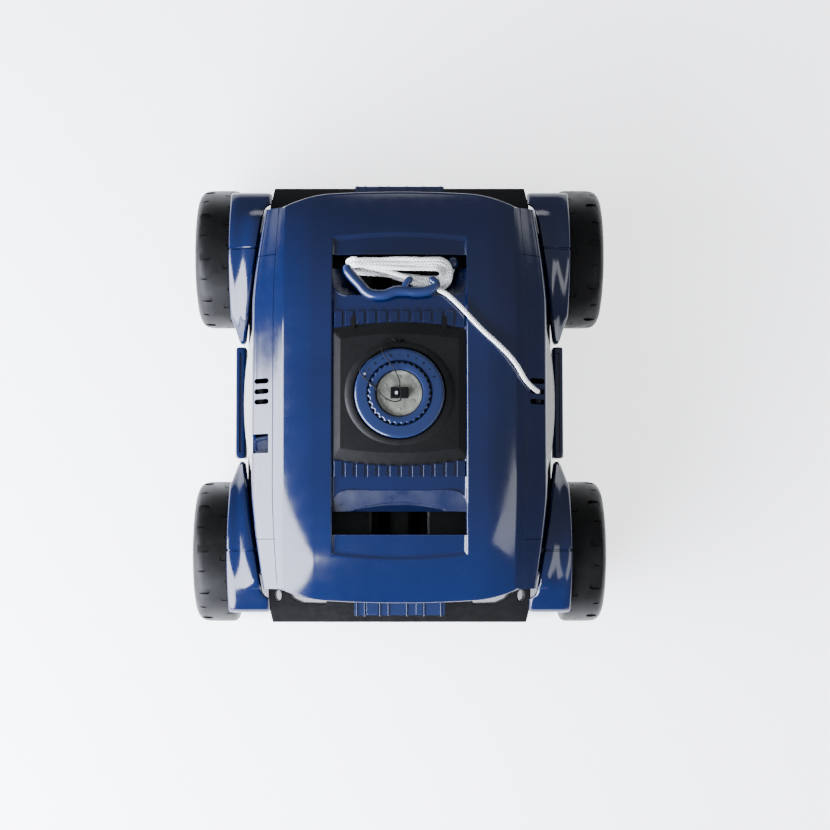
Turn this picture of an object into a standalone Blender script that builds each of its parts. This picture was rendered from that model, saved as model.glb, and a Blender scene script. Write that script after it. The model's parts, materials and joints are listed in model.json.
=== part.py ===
"""A cordless, jet-driven pool cleaner, as the separate pieces it is assembled from.

Metres, +Z up. The origin is on the floor under the middle of the body. +Y is the rear, the end whose
grip opening holds the recovery rope, and +X is the right-hand side. The base carries the wheels,
fenders, filter and intake flaps. The power unit (top shell, motor, ducts and batteries) lifts off it.
"""

import math

import bmesh
import bpy
from mathutils import Vector

# Clearances and walls
GAP = 0.0003
WALL = 0.003

# Wheels
WHEEL_RADIUS = 0.069
WHEEL_Y = 0.146
TYRE_INNER_X = 0.158
TYRE_OUTER_X = 0.1995
WHEEL_X = (TYRE_INNER_X + TYRE_OUTER_X) / 2
RIM_RADIUS = 0.0497
AXLE_RADIUS = 0.006
AXLE_PLAY = 0.00015

# Base tray
TRAY_BOTTOM = 0.016
TRAY_RIM = 0.104
TRAY_HALF_WIDTH = 0.148
TRAY_HALF_LENGTH = 0.192

# Power unit shell
DECK_TOP = 0.1042
SHELL_BOTTOM = DECK_TOP + GAP
CROWN_TOP = 0.209
CROWN_FLAT = 0.060
CROWN_FALL = 0.054
CROWN_POWER = 2.3
CROWN_HALF_LENGTH = 0.1985
CROWN_HALF_WIDTH = 0.109
CREASE_X = 0.079
FLANK_FOOT = 0.125
FLANK_BOW = 0.0105
FLANK_HALF_LENGTH = 0.180
SHELL_ROWS = 16

# Channel along the crown, with both grip openings and the port cover in it
CHANNEL_HALF_WIDTH = 0.0635
CHANNEL_HALF_LENGTH = 0.154
CHANNEL_DEPTH = 0.003
GRIP_HALF_WIDTH = 0.063
GRIP_CORNER = 0.015
REAR_GRIP = (0.0913, 0.1293)
FRONT_GRIP = (-0.1302, -0.0890)
SCOOP_FOOT_Y = -0.1085

# Port in the middle of the cover
COVER_HALF_WIDTH = 0.0628
COVER_HALF_LENGTH = 0.066
DISH_RADIUS = 0.0505
DIAL_RADIUS = 0.0415
COLLAR_RADIUS = 0.0293
COLLAR_TEETH = 32
WINDOW_RADIUS = 0.0212
DIAL_FLOOR = 0.2085

# Drive
DRIVE_Z = 0.128
MOTOR_RADIUS = 0.0235
MOTOR_HALF_LENGTH = 0.078
DUCT_RADIUS = 0.019
DUCT_BORE = 0.0165
IMPELLER_RADIUS = 0.0155
IMPELLER_Y = 0.112
NOZZLE_HALF_WIDTH = 0.043
NOZZLE_TOP = 0.142

# Vents and latch in the flanks
VENT_WIDTH = 0.0050
VENT_PITCH = 0.0097
VENT_Y = 0.0042
VENT_HEIGHTS = (0.1290, 0.1700)
LATCH_Y = -0.043
LATCH_WIDTH = 0.0174
LATCH_PIVOT = (-0.1205, LATCH_Y, 0.1725)

# Intakes in the floor of the tray
INTAKE_HALF_WIDTH = 0.055
INTAKE_NEAR = 0.074
INTAKE_FAR = 0.100
FLAP_PIN_RADIUS = 0.0015
FLAP_PIN_Z = 0.0245
FLAP_HALF_WIDTH = 0.0585

# Filter frame, on four rests in the tray
FILTER_LOW = 0.0900

# Recovery rope
ROPE_DIAMETER = 0.0043
TETHER_DIAMETER = 0.0011

FINISHES = {
    "shell_blue": ((0.010, 0.042, 0.235), 0.16, 0.0),
    "trim_blue": ((0.012, 0.055, 0.300), 0.22, 0.0),
    "body_black": ((0.012, 0.012, 0.013), 0.42, 0.0),
    "cover_grey": ((0.020, 0.020, 0.021), 0.38, 0.0),
    "tyre_black": ((0.010, 0.010, 0.010), 0.55, 0.0),
    "panel_grey": ((0.420, 0.420, 0.380), 0.35, 0.0),
    "window_clear": ((0.420, 0.420, 0.360), 0.10, 0.0),
    "rubber_black": ((0.009, 0.009, 0.009), 0.70, 0.0),
    "filter_mesh": ((0.550, 0.560, 0.560), 0.80, 0.0),
    "steel": ((0.560, 0.560, 0.570), 0.30, 1.0),
    "rope_white": ((0.830, 0.820, 0.780), 0.85, 0.0),
}

UP = Vector((0, 0, 1))


def clear_scene():
    for obj in list(bpy.data.objects):
        bpy.data.objects.remove(obj, do_unlink=True)


def make_collection(name):
    collection = bpy.data.collections.new(name)
    bpy.context.scene.collection.children.link(collection)
    return collection


def make_material(name):
    colour, roughness, metallic = FINISHES[name]
    material = bpy.data.materials.new(name)
    material.use_nodes = True
    shader = material.node_tree.nodes["Principled BSDF"]
    shader.inputs["Base Color"].default_value = (*colour, 1.0)
    shader.inputs["Roughness"].default_value = roughness
    shader.inputs["Metallic"].default_value = metallic
    return material


clear_scene()
PARTS = make_collection("pool_cleaner")
CUTTERS = make_collection("cutters")
MATERIALS = {name: make_material(name) for name in FINISHES}


# ---------------------------------------------------------------- modelling helpers


def finish_object(name, data, finish, origin=(0, 0, 0)):
    """Links an object to the parts, or to the hidden cutters when it has no finish."""
    obj = bpy.data.objects.new(name, data)
    obj.location = origin
    if finish is None:
        CUTTERS.objects.link(obj)
        obj.hide_render = True
        obj.display_type = "WIRE"
    else:
        PARTS.objects.link(obj)
        data.materials.append(MATERIALS[finish])
    return obj


def mesh_object(name, bm, finish, origin=(0, 0, 0), smooth=True):
    bmesh.ops.translate(bm, vec=-Vector(origin), verts=bm.verts)
    bmesh.ops.recalc_face_normals(bm, faces=bm.faces)
    mesh = bpy.data.meshes.new(name)
    bm.to_mesh(mesh)
    bm.free()
    if smooth:
        mesh.shade_smooth()
        mesh.set_sharp_from_angle(angle=math.radians(35))
    return finish_object(name, mesh, finish, origin)


def empty(name, location):
    """A joint's axis: the pieces that move on it are its children."""
    obj = bpy.data.objects.new(name, None)
    obj.location = location
    PARTS.objects.link(obj)
    return obj


def parent_to(holder, *pieces):
    for piece in pieces:
        piece.parent = holder
        piece.location = Vector(piece.location) - holder.location


def bevel(obj, width, segments=2, angle=40):
    modifier = obj.modifiers.new("edge", "BEVEL")
    modifier.width = width
    modifier.segments = segments
    modifier.limit_method = "ANGLE"
    modifier.angle_limit = math.radians(angle)


def combine(obj, other, operation="DIFFERENCE"):
    modifier = obj.modifiers.new(f"{operation.lower()}_{other.name}", "BOOLEAN")
    modifier.operation = operation
    modifier.solver = "EXACT"
    modifier.object = other


def box(name, low, high, finish=None, edge=0.0, origin=(0, 0, 0)):
    bm = bmesh.new()
    bmesh.ops.create_cube(bm, size=1.0)
    low, high = Vector(low), Vector(high)
    for vert in bm.verts:
        vert.co = Vector(low[i] + (high[i] - low[i]) * (vert.co[i] + 0.5) for i in range(3))
    obj = mesh_object(name, bm, finish, origin, smooth=False)
    if edge:
        bevel(obj, edge)
    return obj


def loft(name, rings, finish=None, origin=(0, 0, 0), smooth=True):
    """Joins rings of equal point counts, and closes the first and the last."""
    bm = bmesh.new()
    layers = [[bm.verts.new(point) for point in ring] for ring in rings]
    count = len(layers[0])
    for lower, upper in zip(layers, layers[1:]):
        for i in range(count):
            j = (i + 1) % count
            bm.faces.new((lower[i], lower[j], upper[j], upper[i]))
    bm.faces.new(layers[0][::-1])
    bm.faces.new(layers[-1])
    return mesh_object(name, bm, finish, origin, smooth)


def prism(name, outline, low, high, axis="Z", finish=None, origin=(0, 0, 0)):
    """An outline in the plane across the axis, between two places along it."""
    place = {
        "X": lambda a, b, along: (along, a, b),
        "Y": lambda a, b, along: (a, along, b),
        "Z": lambda a, b, along: (a, b, along),
    }[axis]
    rings = [[place(a, b, along) for a, b in outline] for along in (low, high)]
    return loft(name, rings, finish, origin, smooth=False)


def slab(name, half_width, end_of, bottom_of, top_of, finish=None, columns=8, rows=16):
    """A closed plate over a grid that is stretched to a curved end; heights come from two functions."""
    bm = bmesh.new()
    xs = [half_width * (2 * i / columns - 1) for i in range(columns + 1)]
    vs = [2 * j / rows - 1 for j in range(rows + 1)]
    grids = []
    for height_of in (bottom_of, top_of):
        grids.append(
            [[bm.verts.new((x, v * end_of(x), height_of(x, v * end_of(x)))) for v in vs] for x in xs]
        )
    for grid in grids:
        for i in range(columns):
            for j in range(rows):
                bm.faces.new((grid[i][j], grid[i + 1][j], grid[i + 1][j + 1], grid[i][j + 1]))
    low, high = grids
    rim = [(i, 0) for i in range(columns)] + [(columns, j) for j in range(rows)]
    rim += [(i, rows) for i in range(columns, 0, -1)] + [(0, j) for j in range(rows, 0, -1)]
    for (i, j), (k, m) in zip(rim, rim[1:] + rim[:1]):
        bm.faces.new((low[i][j], low[k][m], high[k][m], high[i][j]))
    return mesh_object(name, bm, finish)


def turned(name, profile, axis, origin, finish=None, steps=32):
    """Turns a profile of (radius, height) points about the axis. One that starts and ends on it is solid."""
    area = sum(a[0] * b[1] - b[0] * a[1] for a, b in zip(profile, profile[1:] + profile[:1]))
    points = profile if area < 0 else profile[::-1]
    solid = points[0][0] == 0 and points[-1][0] == 0
    mesh = bpy.data.meshes.new(name)
    edges = [(i, i + 1) for i in range(len(points) - 1)]
    if not solid:
        edges.append((len(points) - 1, 0))
    mesh.from_pydata([(radius, 0, height) for radius, height in points], edges, [])
    obj = finish_object(name, mesh, finish, origin)
    turn = {"+X": (0, 90, 0), "-X": (0, -90, 0), "+Y": (-90, 0, 0), "-Y": (90, 0, 0), "+Z": (0, 0, 0)}
    obj.rotation_euler = [math.radians(angle) for angle in turn[axis]]
    screw = obj.modifiers.new("turn", "SCREW")
    screw.steps = screw.render_steps = steps
    screw.use_merge_vertices = True
    screw.merge_threshold = 0.00001
    screw.use_smooth_shade = True
    return obj


def cylinder(name, radius, low, high, axis, centre=(0, 0), finish=None, steps=24):
    """A plain round bar along +X, +Y or +Z between two places; centre is its place in the other two."""
    profile = [(0, high), (radius, high), (radius, low), (0, low)]
    a, b = centre
    origin = {"+X": (0, a, b), "+Y": (a, 0, b), "+Z": (a, b, 0)}[axis]
    return turned(name, profile, axis, origin, finish, steps)


def arc(centre, radius, start, end, steps=6):
    """Points on a circle, angles in degrees, both ends included."""
    angles = [math.radians(start + (end - start) * i / steps) for i in range(steps + 1)]
    return [(centre[0] + radius * math.cos(a), centre[1] + radius * math.sin(a)) for a in angles]


def smooth_route(points, step):
    """Points about a step apart on a smooth curve through the route's own points."""
    points = [Vector(p) for p in points]
    padded = [points[0] * 2 - points[1], *points, points[-1] * 2 - points[-2]]
    found = []
    for before, a, b, after in zip(padded, padded[1:], padded[2:], padded[3:]):
        pieces = max(1, round((b - a).length / step))
        for i in range(pieces):
            t = i / pieces
            found.append(
                0.5
                * (
                    2 * a
                    + (b - before) * t
                    + (2 * before - 5 * a + 4 * b - after) * t * t
                    + (3 * a - before - 3 * b + after) * t * t * t
                )
            )
    return found + [points[-1]]


def tube(name, points, diameter, finish, resolution=2):
    curve = bpy.data.curves.new(name, "CURVE")
    curve.dimensions = "3D"
    curve.bevel_depth = diameter / 2
    curve.bevel_resolution = resolution
    curve.use_fill_caps = True
    spline = curve.splines.new("POLY")
    spline.points.add(len(points) - 1)
    for point, place in zip(spline.points, points):
        point.co = (*place, 1)
    return finish_object(name, curve, finish)


def four_quarters(quarter):
    """A whole outline from its quarter towards +X and +Y, anticlockwise."""
    rear = quarter + [(-x, y) for x, y in quarter[::-1]]
    return rear + [(-x, -y) for x, y in rear]


def side_name(side):
    return "right" if side > 0 else "left"


def end_name(end):
    return "rear" if end > 0 else "front"


# ---------------------------------------------------------------- the shell's form


def crown_scale(y):
    """How high the shell still is above the foot of its flanks, as a share of its height in the middle."""
    reach = max(0.0, abs(y) - CROWN_FLAT) / (CROWN_HALF_LENGTH - CROWN_FLAT)
    return 1 - CROWN_FALL * min(1.0, reach) ** CROWN_POWER / (CROWN_TOP - FLANK_FOOT)


def crown_z(x, y):
    """Height of the crown: nearly flat between the creases, then falling to the edge."""
    x = abs(x)
    fall = 0.0045 * (x / CREASE_X) ** 2
    if x > CREASE_X:
        fall = 0.0045 + 0.009 * ((x - CREASE_X) / (CROWN_HALF_WIDTH - CREASE_X)) ** 1.4
    return FLANK_FOOT + (CROWN_TOP - fall - FLANK_FOOT) * crown_scale(y)


def crown_end(x):
    """Half the crown's length at a distance from its middle: a shallow arc with rounded corners."""
    x = abs(x)
    corner = max(0.0, (x - 0.068) / (CROWN_HALF_WIDTH - 0.068))
    return CROWN_HALF_LENGTH - 0.0025 * (x / 0.068) ** 2 - 0.0121 * corner**1.7


# Distance from the middle and height of each line along the flank, from the crown's edge down.
FLANK_LINES = (
    (0.1130, 0.1915),
    (0.1165, 0.1860),
    (0.1215, 0.1800),
    (0.1330, 0.1545),
    (0.1415, 0.1280),
    (0.1415, FLANK_FOOT),
    (0.1350, 0.1238),
    (0.1350, SHELL_BOTTOM),
)
# How far down the end face the same lines run where they turn round the ends.
END_SHARES = (0.04, 0.08, 0.14, 0.45, 0.70, 0.80, 0.90, 1.0)
END_DRAFT = 0.004


def flank_point(line, side, y, inset):
    x, z = FLANK_LINES[line]
    bow = FLANK_BOW * (abs(y) / FLANK_HALF_LENGTH) ** 2.5 * (x - CROWN_HALF_WIDTH) / 0.0325
    if z > FLANK_FOOT:
        z = FLANK_FOOT + (z - FLANK_FOOT) * crown_scale(y)
    if inset and 4 <= line <= 6:
        z += inset
    return Vector((side * (x - bow - inset), y, z))


def end_point(line, x, end, top, inset):
    share = END_SHARES[line]
    y = end * (crown_end(x) - END_DRAFT * share - inset)
    return Vector((x * (1 - inset / CROWN_HALF_WIDTH), y, top - (top - SHELL_BOTTOM) * share))


def shell_surface(bm, columns, rows, inset):
    """The outside (inset 0) or the inside of the shell. Returns the ring along its bottom edge."""
    xs = [x for x in columns[:0:-1]]
    xs = [-x for x in xs] + list(columns)
    vs = [math.sin(math.pi / 2 * (2 * j / rows - 1)) for j in range(rows + 1)]
    squeeze = 1 - inset / CROWN_HALF_WIDTH
    grid = []
    for x in xs:
        line = []
        for v in vs:
            y = v * crown_end(x)
            deeper = CHANNEL_DEPTH if inset and abs(x) < 0.07 and abs(y) < 0.17 else 0
            z = crown_z(x, y) - inset - deeper
            line.append(bm.verts.new((x * squeeze, y - inset * v, z)))
        grid.append(line)
    last = len(xs) - 1
    for i in range(last):
        for j in range(rows):
            bm.faces.new((grid[i][j], grid[i + 1][j], grid[i + 1][j + 1], grid[i][j + 1]))
    rim = [(last, j) for j in range(rows)] + [(i, rows) for i in range(last, 0, -1)]
    rim += [(0, j) for j in range(rows, 0, -1)] + [(i, 0) for i in range(last)]
    above = [grid[i][j] for i, j in rim]
    for line in range(len(FLANK_LINES)):
        ring = []
        for i, j in rim:
            start = grid[i][j].co
            if i in (0, last):
                place = flank_point(line, 1 if i else -1, start.y, inset)
            else:
                place = end_point(line, xs[i], 1 if j else -1, start.z, inset)
            ring.append(bm.verts.new(place))
        for k in range(len(rim)):
            m = (k + 1) % len(rim)
            bm.faces.new((above[k], above[m], ring[m], ring[k]))
        above = ring
    return above


def grip_outline(near, far):
    """A grip opening: square against the ends of the unit, with rounded corners towards its middle."""
    sign = 1 if far > near else -1
    centre_x, centre_y = GRIP_HALF_WIDTH - GRIP_CORNER, near + sign * GRIP_CORNER
    right = arc((centre_x, centre_y), GRIP_CORNER, 0, -90 * sign)
    left = [(-x, y) for x, y in right[::-1]]
    return [(GRIP_HALF_WIDTH, far), *right, *left, (-GRIP_HALF_WIDTH, far)]


def slot_outline(centre_y, width, low, high, round_top=True):
    """An upright slot in a flank, as (y, z) points."""
    radius = width / 2
    bottom = arc((centre_y, low + radius), radius, 180, 360)
    if not round_top:
        return [*bottom, (centre_y + radius, high), (centre_y - radius, high)]
    return [*bottom, *arc((centre_y, high - radius), radius, 0, 180)]


def make_scoop():
    """The sloping finger scoop on the inner side of the front grip opening."""
    top_y = FRONT_GRIP[1] + 0.0020
    top_z = crown_z(0, top_y) - CHANNEL_DEPTH - 0.0012
    foot_z = top_z - 0.012
    profile = [
        (top_y, top_z),
        (top_y, top_z - 0.0014),
        (SCOOP_FOOT_Y, foot_z - 0.0025),
        (SCOOP_FOOT_Y, foot_z),
    ]
    return prism("scoop_add", profile, -GRIP_HALF_WIDTH - 0.0012, GRIP_HALF_WIDTH + 0.0012, "X")


def make_top_shell():
    bm = bmesh.new()
    columns = (0.0, 0.032, 0.0650, CREASE_X, 0.092, 0.102, CROWN_HALF_WIDTH)
    outer = shell_surface(bm, columns, SHELL_ROWS, 0.0)
    inner = shell_surface(bm, columns, SHELL_ROWS, WALL)
    for k in range(len(outer)):
        m = (k + 1) % len(outer)
        bm.faces.new((outer[k], outer[m], inner[m], inner[k]))
    shell = mesh_object("top_shell", bm, "shell_blue")
    channel = slab(
        "channel_cut",
        CHANNEL_HALF_WIDTH,
        lambda x: CHANNEL_HALF_LENGTH - 0.0045 * (x / CHANNEL_HALF_WIDTH) ** 2,
        lambda x, y: crown_z(x, y) - CHANNEL_DEPTH,
        lambda x, y: CROWN_TOP + 0.02,
    )
    combine(shell, channel)
    combine(shell, prism("rear_grip_cut", grip_outline(*REAR_GRIP), 0.15, 0.23))
    combine(shell, prism("front_grip_cut", grip_outline(FRONT_GRIP[1], FRONT_GRIP[0]), 0.15, 0.23))
    combine(shell, make_scoop(), "UNION")
    combine(shell, cylinder("port_cut", DIAL_RADIUS + 0.0015, 0.15, 0.23, "+Z", steps=48))
    for side in (-1, 1):
        for i in (-1, 0, 1):
            outline = slot_outline(VENT_Y + i * VENT_PITCH, VENT_WIDTH, *VENT_HEIGHTS)
            reach = sorted((side * 0.116, side * 0.150))
            combine(shell, prism(f"vent_cut_{side_name(side)}_{i + 1}", outline, *reach, "X"))
    latch = slot_outline(LATCH_Y, LATCH_WIDTH, 0.1270, 0.1790, round_top=False)
    combine(shell, prism("latch_cut", latch, -0.150, -0.1120, "X"))
    for end in (-1, 1):
        y_low, y_high = sorted((end * 0.17, end * 0.215))
        low = (-NOZZLE_HALF_WIDTH - 0.0004, y_low, 0.09)
        high = (NOZZLE_HALF_WIDTH + 0.0004, y_high, NOZZLE_TOP + 0.0004)
        combine(shell, box(f"nozzle_cut_{end_name(end)}", low, high))
    return shell


# ---------------------------------------------------------------- port in the cover


def make_centre_cover():
    cover = slab(
        "centre_cover",
        COVER_HALF_WIDTH,
        lambda x: COVER_HALF_LENGTH - 0.006 * (x / COVER_HALF_WIDTH) ** 2,
        lambda x, y: crown_z(x, y) - CHANNEL_DEPTH + GAP,
        lambda x, y: crown_z(x, y) + 0.0006,
        "cover_grey",
        columns=8,
        rows=8,
    )
    rim = [(DIAL_RADIUS, 0.2070), (DISH_RADIUS - 0.002, 0.2070)]
    rim += [(DISH_RADIUS, 0.2100), (DISH_RADIUS - 0.003, 0.2115), (DIAL_RADIUS, 0.2115)]
    combine(cover, turned("dish_add", rim, "+Z", (0, 0, 0), steps=48), "UNION")
    combine(cover, cylinder("dial_cut", DIAL_RADIUS + 0.0006, 0.19, 0.23, "+Z", steps=48))
    for side in (-1, 1):
        hole = (side * 0.0028, 0.0476)
        combine(cover, cylinder(f"tether_cut_{side_name(side)}", 0.0012, 0.20, 0.22, "+Z", hole, steps=10))
    return cover


def make_port_socket():
    profile = [
        (0.0240, DIAL_FLOOR),
        (DIAL_RADIUS - 0.0004, DIAL_FLOOR),
        (DIAL_RADIUS - 0.0004, 0.1880),
        (0.0080, 0.1880),
        (0.0080, 0.1920),
        (0.0240, 0.1920),
    ]
    return turned("port_socket", profile, "+Z", (0, 0, 0), "body_black", steps=36)


def make_dial_ring():
    inner = COLLAR_RADIUS + 0.0007
    low, high = DIAL_FLOOR + GAP, 0.2140
    profile = [
        (inner, high),
        (DIAL_RADIUS - 0.0012, high),
        (DIAL_RADIUS, high - 0.0012),
        (DIAL_RADIUS, low),
        (inner, low),
    ]
    return turned("dial_ring", profile, "+Z", (0, 0, 0), "trim_blue", steps=48)


def make_lock_collar():
    """A ring with fine teeth round its outside, which turns to free the window."""
    low, high = DIAL_FLOOR + GAP, 0.2158
    bm = bmesh.new()
    rings = []
    for radius_in, z in ((False, low), (False, high - 0.001), (False, high), (True, high), (True, low)):
        ring = []
        for i in range(COLLAR_TEETH * 2):
            angle = math.pi * i / COLLAR_TEETH
            tooth = 0.0006 if i % 2 else 0.0
            radius = WINDOW_RADIUS + 0.0004 if radius_in else COLLAR_RADIUS - tooth
            if z == high and not radius_in:
                radius -= 0.0006
            ring.append(bm.verts.new((radius * math.cos(angle), radius * math.sin(angle), z)))
        rings.append(ring)
    for lower, upper in zip(rings, rings[1:] + rings[:1]):
        for i in range(len(lower)):
            j = (i + 1) % len(lower)
            bm.faces.new((lower[i], lower[j], upper[j], upper[i]))
    return mesh_object("lock_collar", bm, "trim_blue")


def make_port_window():
    low, high = DIAL_FLOOR - 0.004, 0.2118
    profile = [(0, high), (WINDOW_RADIUS, high), (WINDOW_RADIUS, low), (0, low)]
    window = turned("port_window", profile, "+Z", (0, 0, 0), "window_clear", steps=40)
    combine(window, box("plug_cut", (-0.0066, -0.0036, 0.19), (0.0066, 0.0036, 0.23)))
    return window


def make_port_plug():
    """The rubber plug of the charging socket: a block on a stem that passes through the window."""
    plug = box("port_plug", (-0.0083, -0.0051, 0.2121), (0.0083, 0.0051, 0.2172), "rubber_black")
    combine(plug, box("plug_stem_add", (-0.0062, -0.0032, 0.1990), (0.0062, 0.0032, 0.2140)), "UNION")
    bevel(plug, 0.0004, segments=1)
    return plug


# Middle of the plug's tether, from the plug over the dial to its hole in the cover.
TETHER_ROUTE = (
    (0.0000, 0.0060, 0.2150),
    (0.0000, 0.0110, 0.2175),
    (-0.0040, 0.0200, 0.2180),
    (-0.0095, 0.0285, 0.2178),
    (-0.0150, 0.0365, 0.2160),
    (-0.0165, 0.0430, 0.2140),
    (-0.0130, 0.0485, 0.2132),
    (-0.0075, 0.0500, 0.2130),
    (-0.0034, 0.0482, 0.2136),
    (-0.0028, 0.0476, 0.2118),
    (-0.0028, 0.0476, 0.2085),
)


# ---------------------------------------------------------------- drive, inside the power unit


def make_motor():
    half = MOTOR_HALF_LENGTH
    profile = [
        (0.0045, half),
        (MOTOR_RADIUS - 0.004, half),
        (MOTOR_RADIUS, half - 0.006),
        (MOTOR_RADIUS, -half + 0.006),
        (MOTOR_RADIUS - 0.004, -half),
        (0.0045, -half),
    ]
    housing = turned("motor_housing", profile, "+Y", (0, 0, DRIVE_Z), "body_black", steps=28)
    shaft_half = IMPELLER_Y + 0.012
    shaft = cylinder("motor_shaft", 0.003, -shaft_half, shaft_half, "+Y", (0, DRIVE_Z), "steel", steps=16)
    return housing, shaft


def make_impeller(end):
    """A hub with four raked blades; each blade's root is sunk in the hub."""
    name = f"impeller_{end_name(end)}"
    centre = Vector((0, end * IMPELLER_Y, DRIVE_Z))
    hub = [(0.0034, -0.008), (0.0062, -0.008), (0.0062, 0.008), (0.0034, 0.008)]
    impeller = turned(name, hub, "+Y", centre, "trim_blue", steps=20)
    for i in range(4):
        angle = math.pi / 2 * i
        out = Vector((math.cos(angle), 0, math.sin(angle)))
        across = Vector((-math.sin(angle), 0, math.cos(angle)))
        rings = []
        for radius, rake in ((0.0050, 0.9), (IMPELLER_RADIUS, 0.55)):
            along = Vector((0, math.cos(rake), 0)) + across * math.sin(rake)
            thick = (along.cross(out)).normalized() * 0.0008
            middle = centre + out * radius
            corners = [(1, 1), (-1, 1), (-1, -1), (1, -1)]
            rings.append([middle + along * 0.0065 * a + thick * b for a, b in corners])
        combine(impeller, loft(f"blade_{end_name(end)}_{i + 1}", rings, smooth=False), "UNION")
    return impeller


def make_duct(end):
    """The tube round an impeller, which leads its jet to the nozzle; its inner end is open to the water."""
    low, high = 0.094, 0.1860
    profile = [(DUCT_BORE, low), (DUCT_RADIUS, low), (DUCT_RADIUS, high), (DUCT_BORE, high)]
    axis = "+Y" if end > 0 else "-Y"
    return turned(f"jet_duct_{end_name(end)}", profile, axis, (0, 0, DRIVE_Z), "body_black", steps=28)


def make_nozzle(end):
    """The ribbed blue outlet at one end of the power unit."""
    y_low, y_high = sorted((end * (0.1860 + GAP), end * 0.2090))
    low = (-NOZZLE_HALF_WIDTH, y_low, SHELL_BOTTOM + GAP)
    high = (NOZZLE_HALF_WIDTH, y_high, NOZZLE_TOP)
    nozzle = box(f"jet_nozzle_{end_name(end)}", low, high, "trim_blue", edge=0.004)
    combine(nozzle, cylinder(f"jet_cut_{end_name(end)}", DUCT_BORE, -0.22, 0.22, "+Y", (0, DRIVE_Z)))
    mouth_low, mouth_high = sorted((end * 0.1950, end * 0.2150))
    low, high = (-0.036, mouth_low, 0.1100), (0.036, mouth_high, 0.1370)
    combine(nozzle, box(f"mouth_cut_{end_name(end)}", low, high))
    for i in range(-3, 4):
        x = i * 0.0125
        low = (x - 0.0008, y_low - 0.01, NOZZLE_TOP - 0.0012)
        high = (x + 0.0008, y_high + 0.01, NOZZLE_TOP + 0.01)
        combine(nozzle, box(f"groove_cut_{end_name(end)}_{i + 4}", low, high))
    return nozzle


def make_deck():
    """The floor of the power unit, with a window over each intake side for the filtered water."""
    quarter = [(0.1449, 0.1100), (0.1395, 0.1380), (0.1335, 0.1580), (0.1219, 0.1720)]
    quarter += [(x - WALL - 0.0006, y * 0.98) for x, y in tray_outline(0.0)[2:6]]
    outline = four_quarters(quarter)
    deck = prism("deck_plate", outline, DECK_TOP - 0.0035, DECK_TOP, "Z", "body_black")
    for end in (-1, 1):
        y_low, y_high = sorted((end * 0.088, end * 0.150))
        combine(deck, box(f"deck_cut_{end_name(end)}", (-0.020, y_low, 0.095), (0.020, y_high, 0.11)))
    return deck


def make_battery(side):
    x_low, x_high = sorted((side * 0.0255, side * 0.0900))
    name = f"battery_pack_{side_name(side)}"
    return box(name, (x_low, -0.158, DECK_TOP + GAP), (x_high, 0.158, 0.1500), "body_black", edge=0.003)


def make_control_box():
    low = (-0.045, -0.050, DRIVE_Z + MOTOR_RADIUS + GAP)
    return box("control_box", low, (0.045, 0.050, 0.1860), "body_black", edge=0.003)


def make_latch():
    """A U-shaped pull in the left flank that frees the power unit, and the pin it turns on."""
    px, py, pz = LATCH_PIVOT
    half = LATCH_WIDTH / 2 - 0.0005
    rings = []
    for depth in (0.0, 0.0032):
        ring = []
        for y, z in slot_outline(py, half * 2, 0.1280, 0.1715, round_top=False):
            lean = (0.1800 - z) * 0.40
            ring.append((-0.1195 - lean + depth, y, z))
        rings.append(ring)
    lever = loft("latch_lever", rings, "trim_blue", origin=LATCH_PIVOT, smooth=False)
    barrel = cylinder("latch_barrel_add", 0.0034, py - half, py + half, "+Y", (px, pz))
    combine(lever, barrel, "UNION")
    combine(lever, cylinder("latch_bore_cut", 0.0018, py - 0.02, py + 0.02, "+Y", (px, pz)))
    pin = cylinder("latch_pin", 0.0015, py - 0.0084, py + 0.0084, "+Y", (px, pz), "steel", steps=14)
    return lever, pin


# ---------------------------------------------------------------- base


def tray_outline(inset):
    """Plan of the base tray, anticlockwise, with its corners cut back behind the bumper bars."""
    quarter = [
        (0.1480, 0.1605),
        (0.1250, 0.1755),
        (0.1040, 0.1755),
        (0.0860, 0.1855),
        (0.0660, 0.1900),
        (0.0300, TRAY_HALF_LENGTH),
    ]
    return four_quarters([(x - inset, y - inset) for x, y in quarter])


def make_base_tray():
    rings = []
    for inset, z in (
        (0.009, TRAY_BOTTOM),
        (0.0, TRAY_BOTTOM + 0.014),
        (0.0, TRAY_RIM),
        (WALL, TRAY_RIM),
        (WALL, TRAY_BOTTOM + 0.016),
        (0.012, TRAY_BOTTOM + WALL),
    ):
        rings.append([(x, y, z) for x, y in tray_outline(inset)])
    tray = loft("base_tray", rings, "body_black", smooth=False)
    for end in (-1, 1):
        name = end_name(end)
        pin_y = end * (INTAKE_FAR + 0.004)
        for side in (-1, 1):
            x_low, x_high = sorted((side * 0.0600, side * 0.0640))
            low, high = (x_low, pin_y - 0.004, 0.0180), (x_high, pin_y + 0.004, 0.0285)
            combine(tray, box(f"ear_add_{name}_{side_name(side)}", low, high), "UNION")
            x_low, x_high = sorted((side * 0.1240, side * 0.1320))
            y_low, y_high = sorted((end * 0.110, end * 0.118))
            low, high = (x_low, y_low, 0.0175), (x_high, y_high, FILTER_LOW - GAP)
            combine(tray, box(f"rest_add_{name}_{side_name(side)}", low, high), "UNION")
        radius = FLAP_PIN_RADIUS + 0.0003
        combine(tray, cylinder(f"pin_cut_{name}", radius, -0.066, 0.066, "+X", (pin_y, FLAP_PIN_Z), steps=14))
        y_low, y_high = sorted((end * INTAKE_NEAR, end * INTAKE_FAR))
        low, high = (-INTAKE_HALF_WIDTH, y_low, 0.0), (INTAKE_HALF_WIDTH, y_high, 0.03)
        combine(tray, box(f"intake_cut_{name}", low, high))
        centre = (end * WHEEL_Y, WHEEL_RADIUS)
        combine(tray, cylinder(f"axle_cut_{name}", AXLE_RADIUS + 0.0004, -0.17, 0.17, "+X", centre))
    return tray


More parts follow.
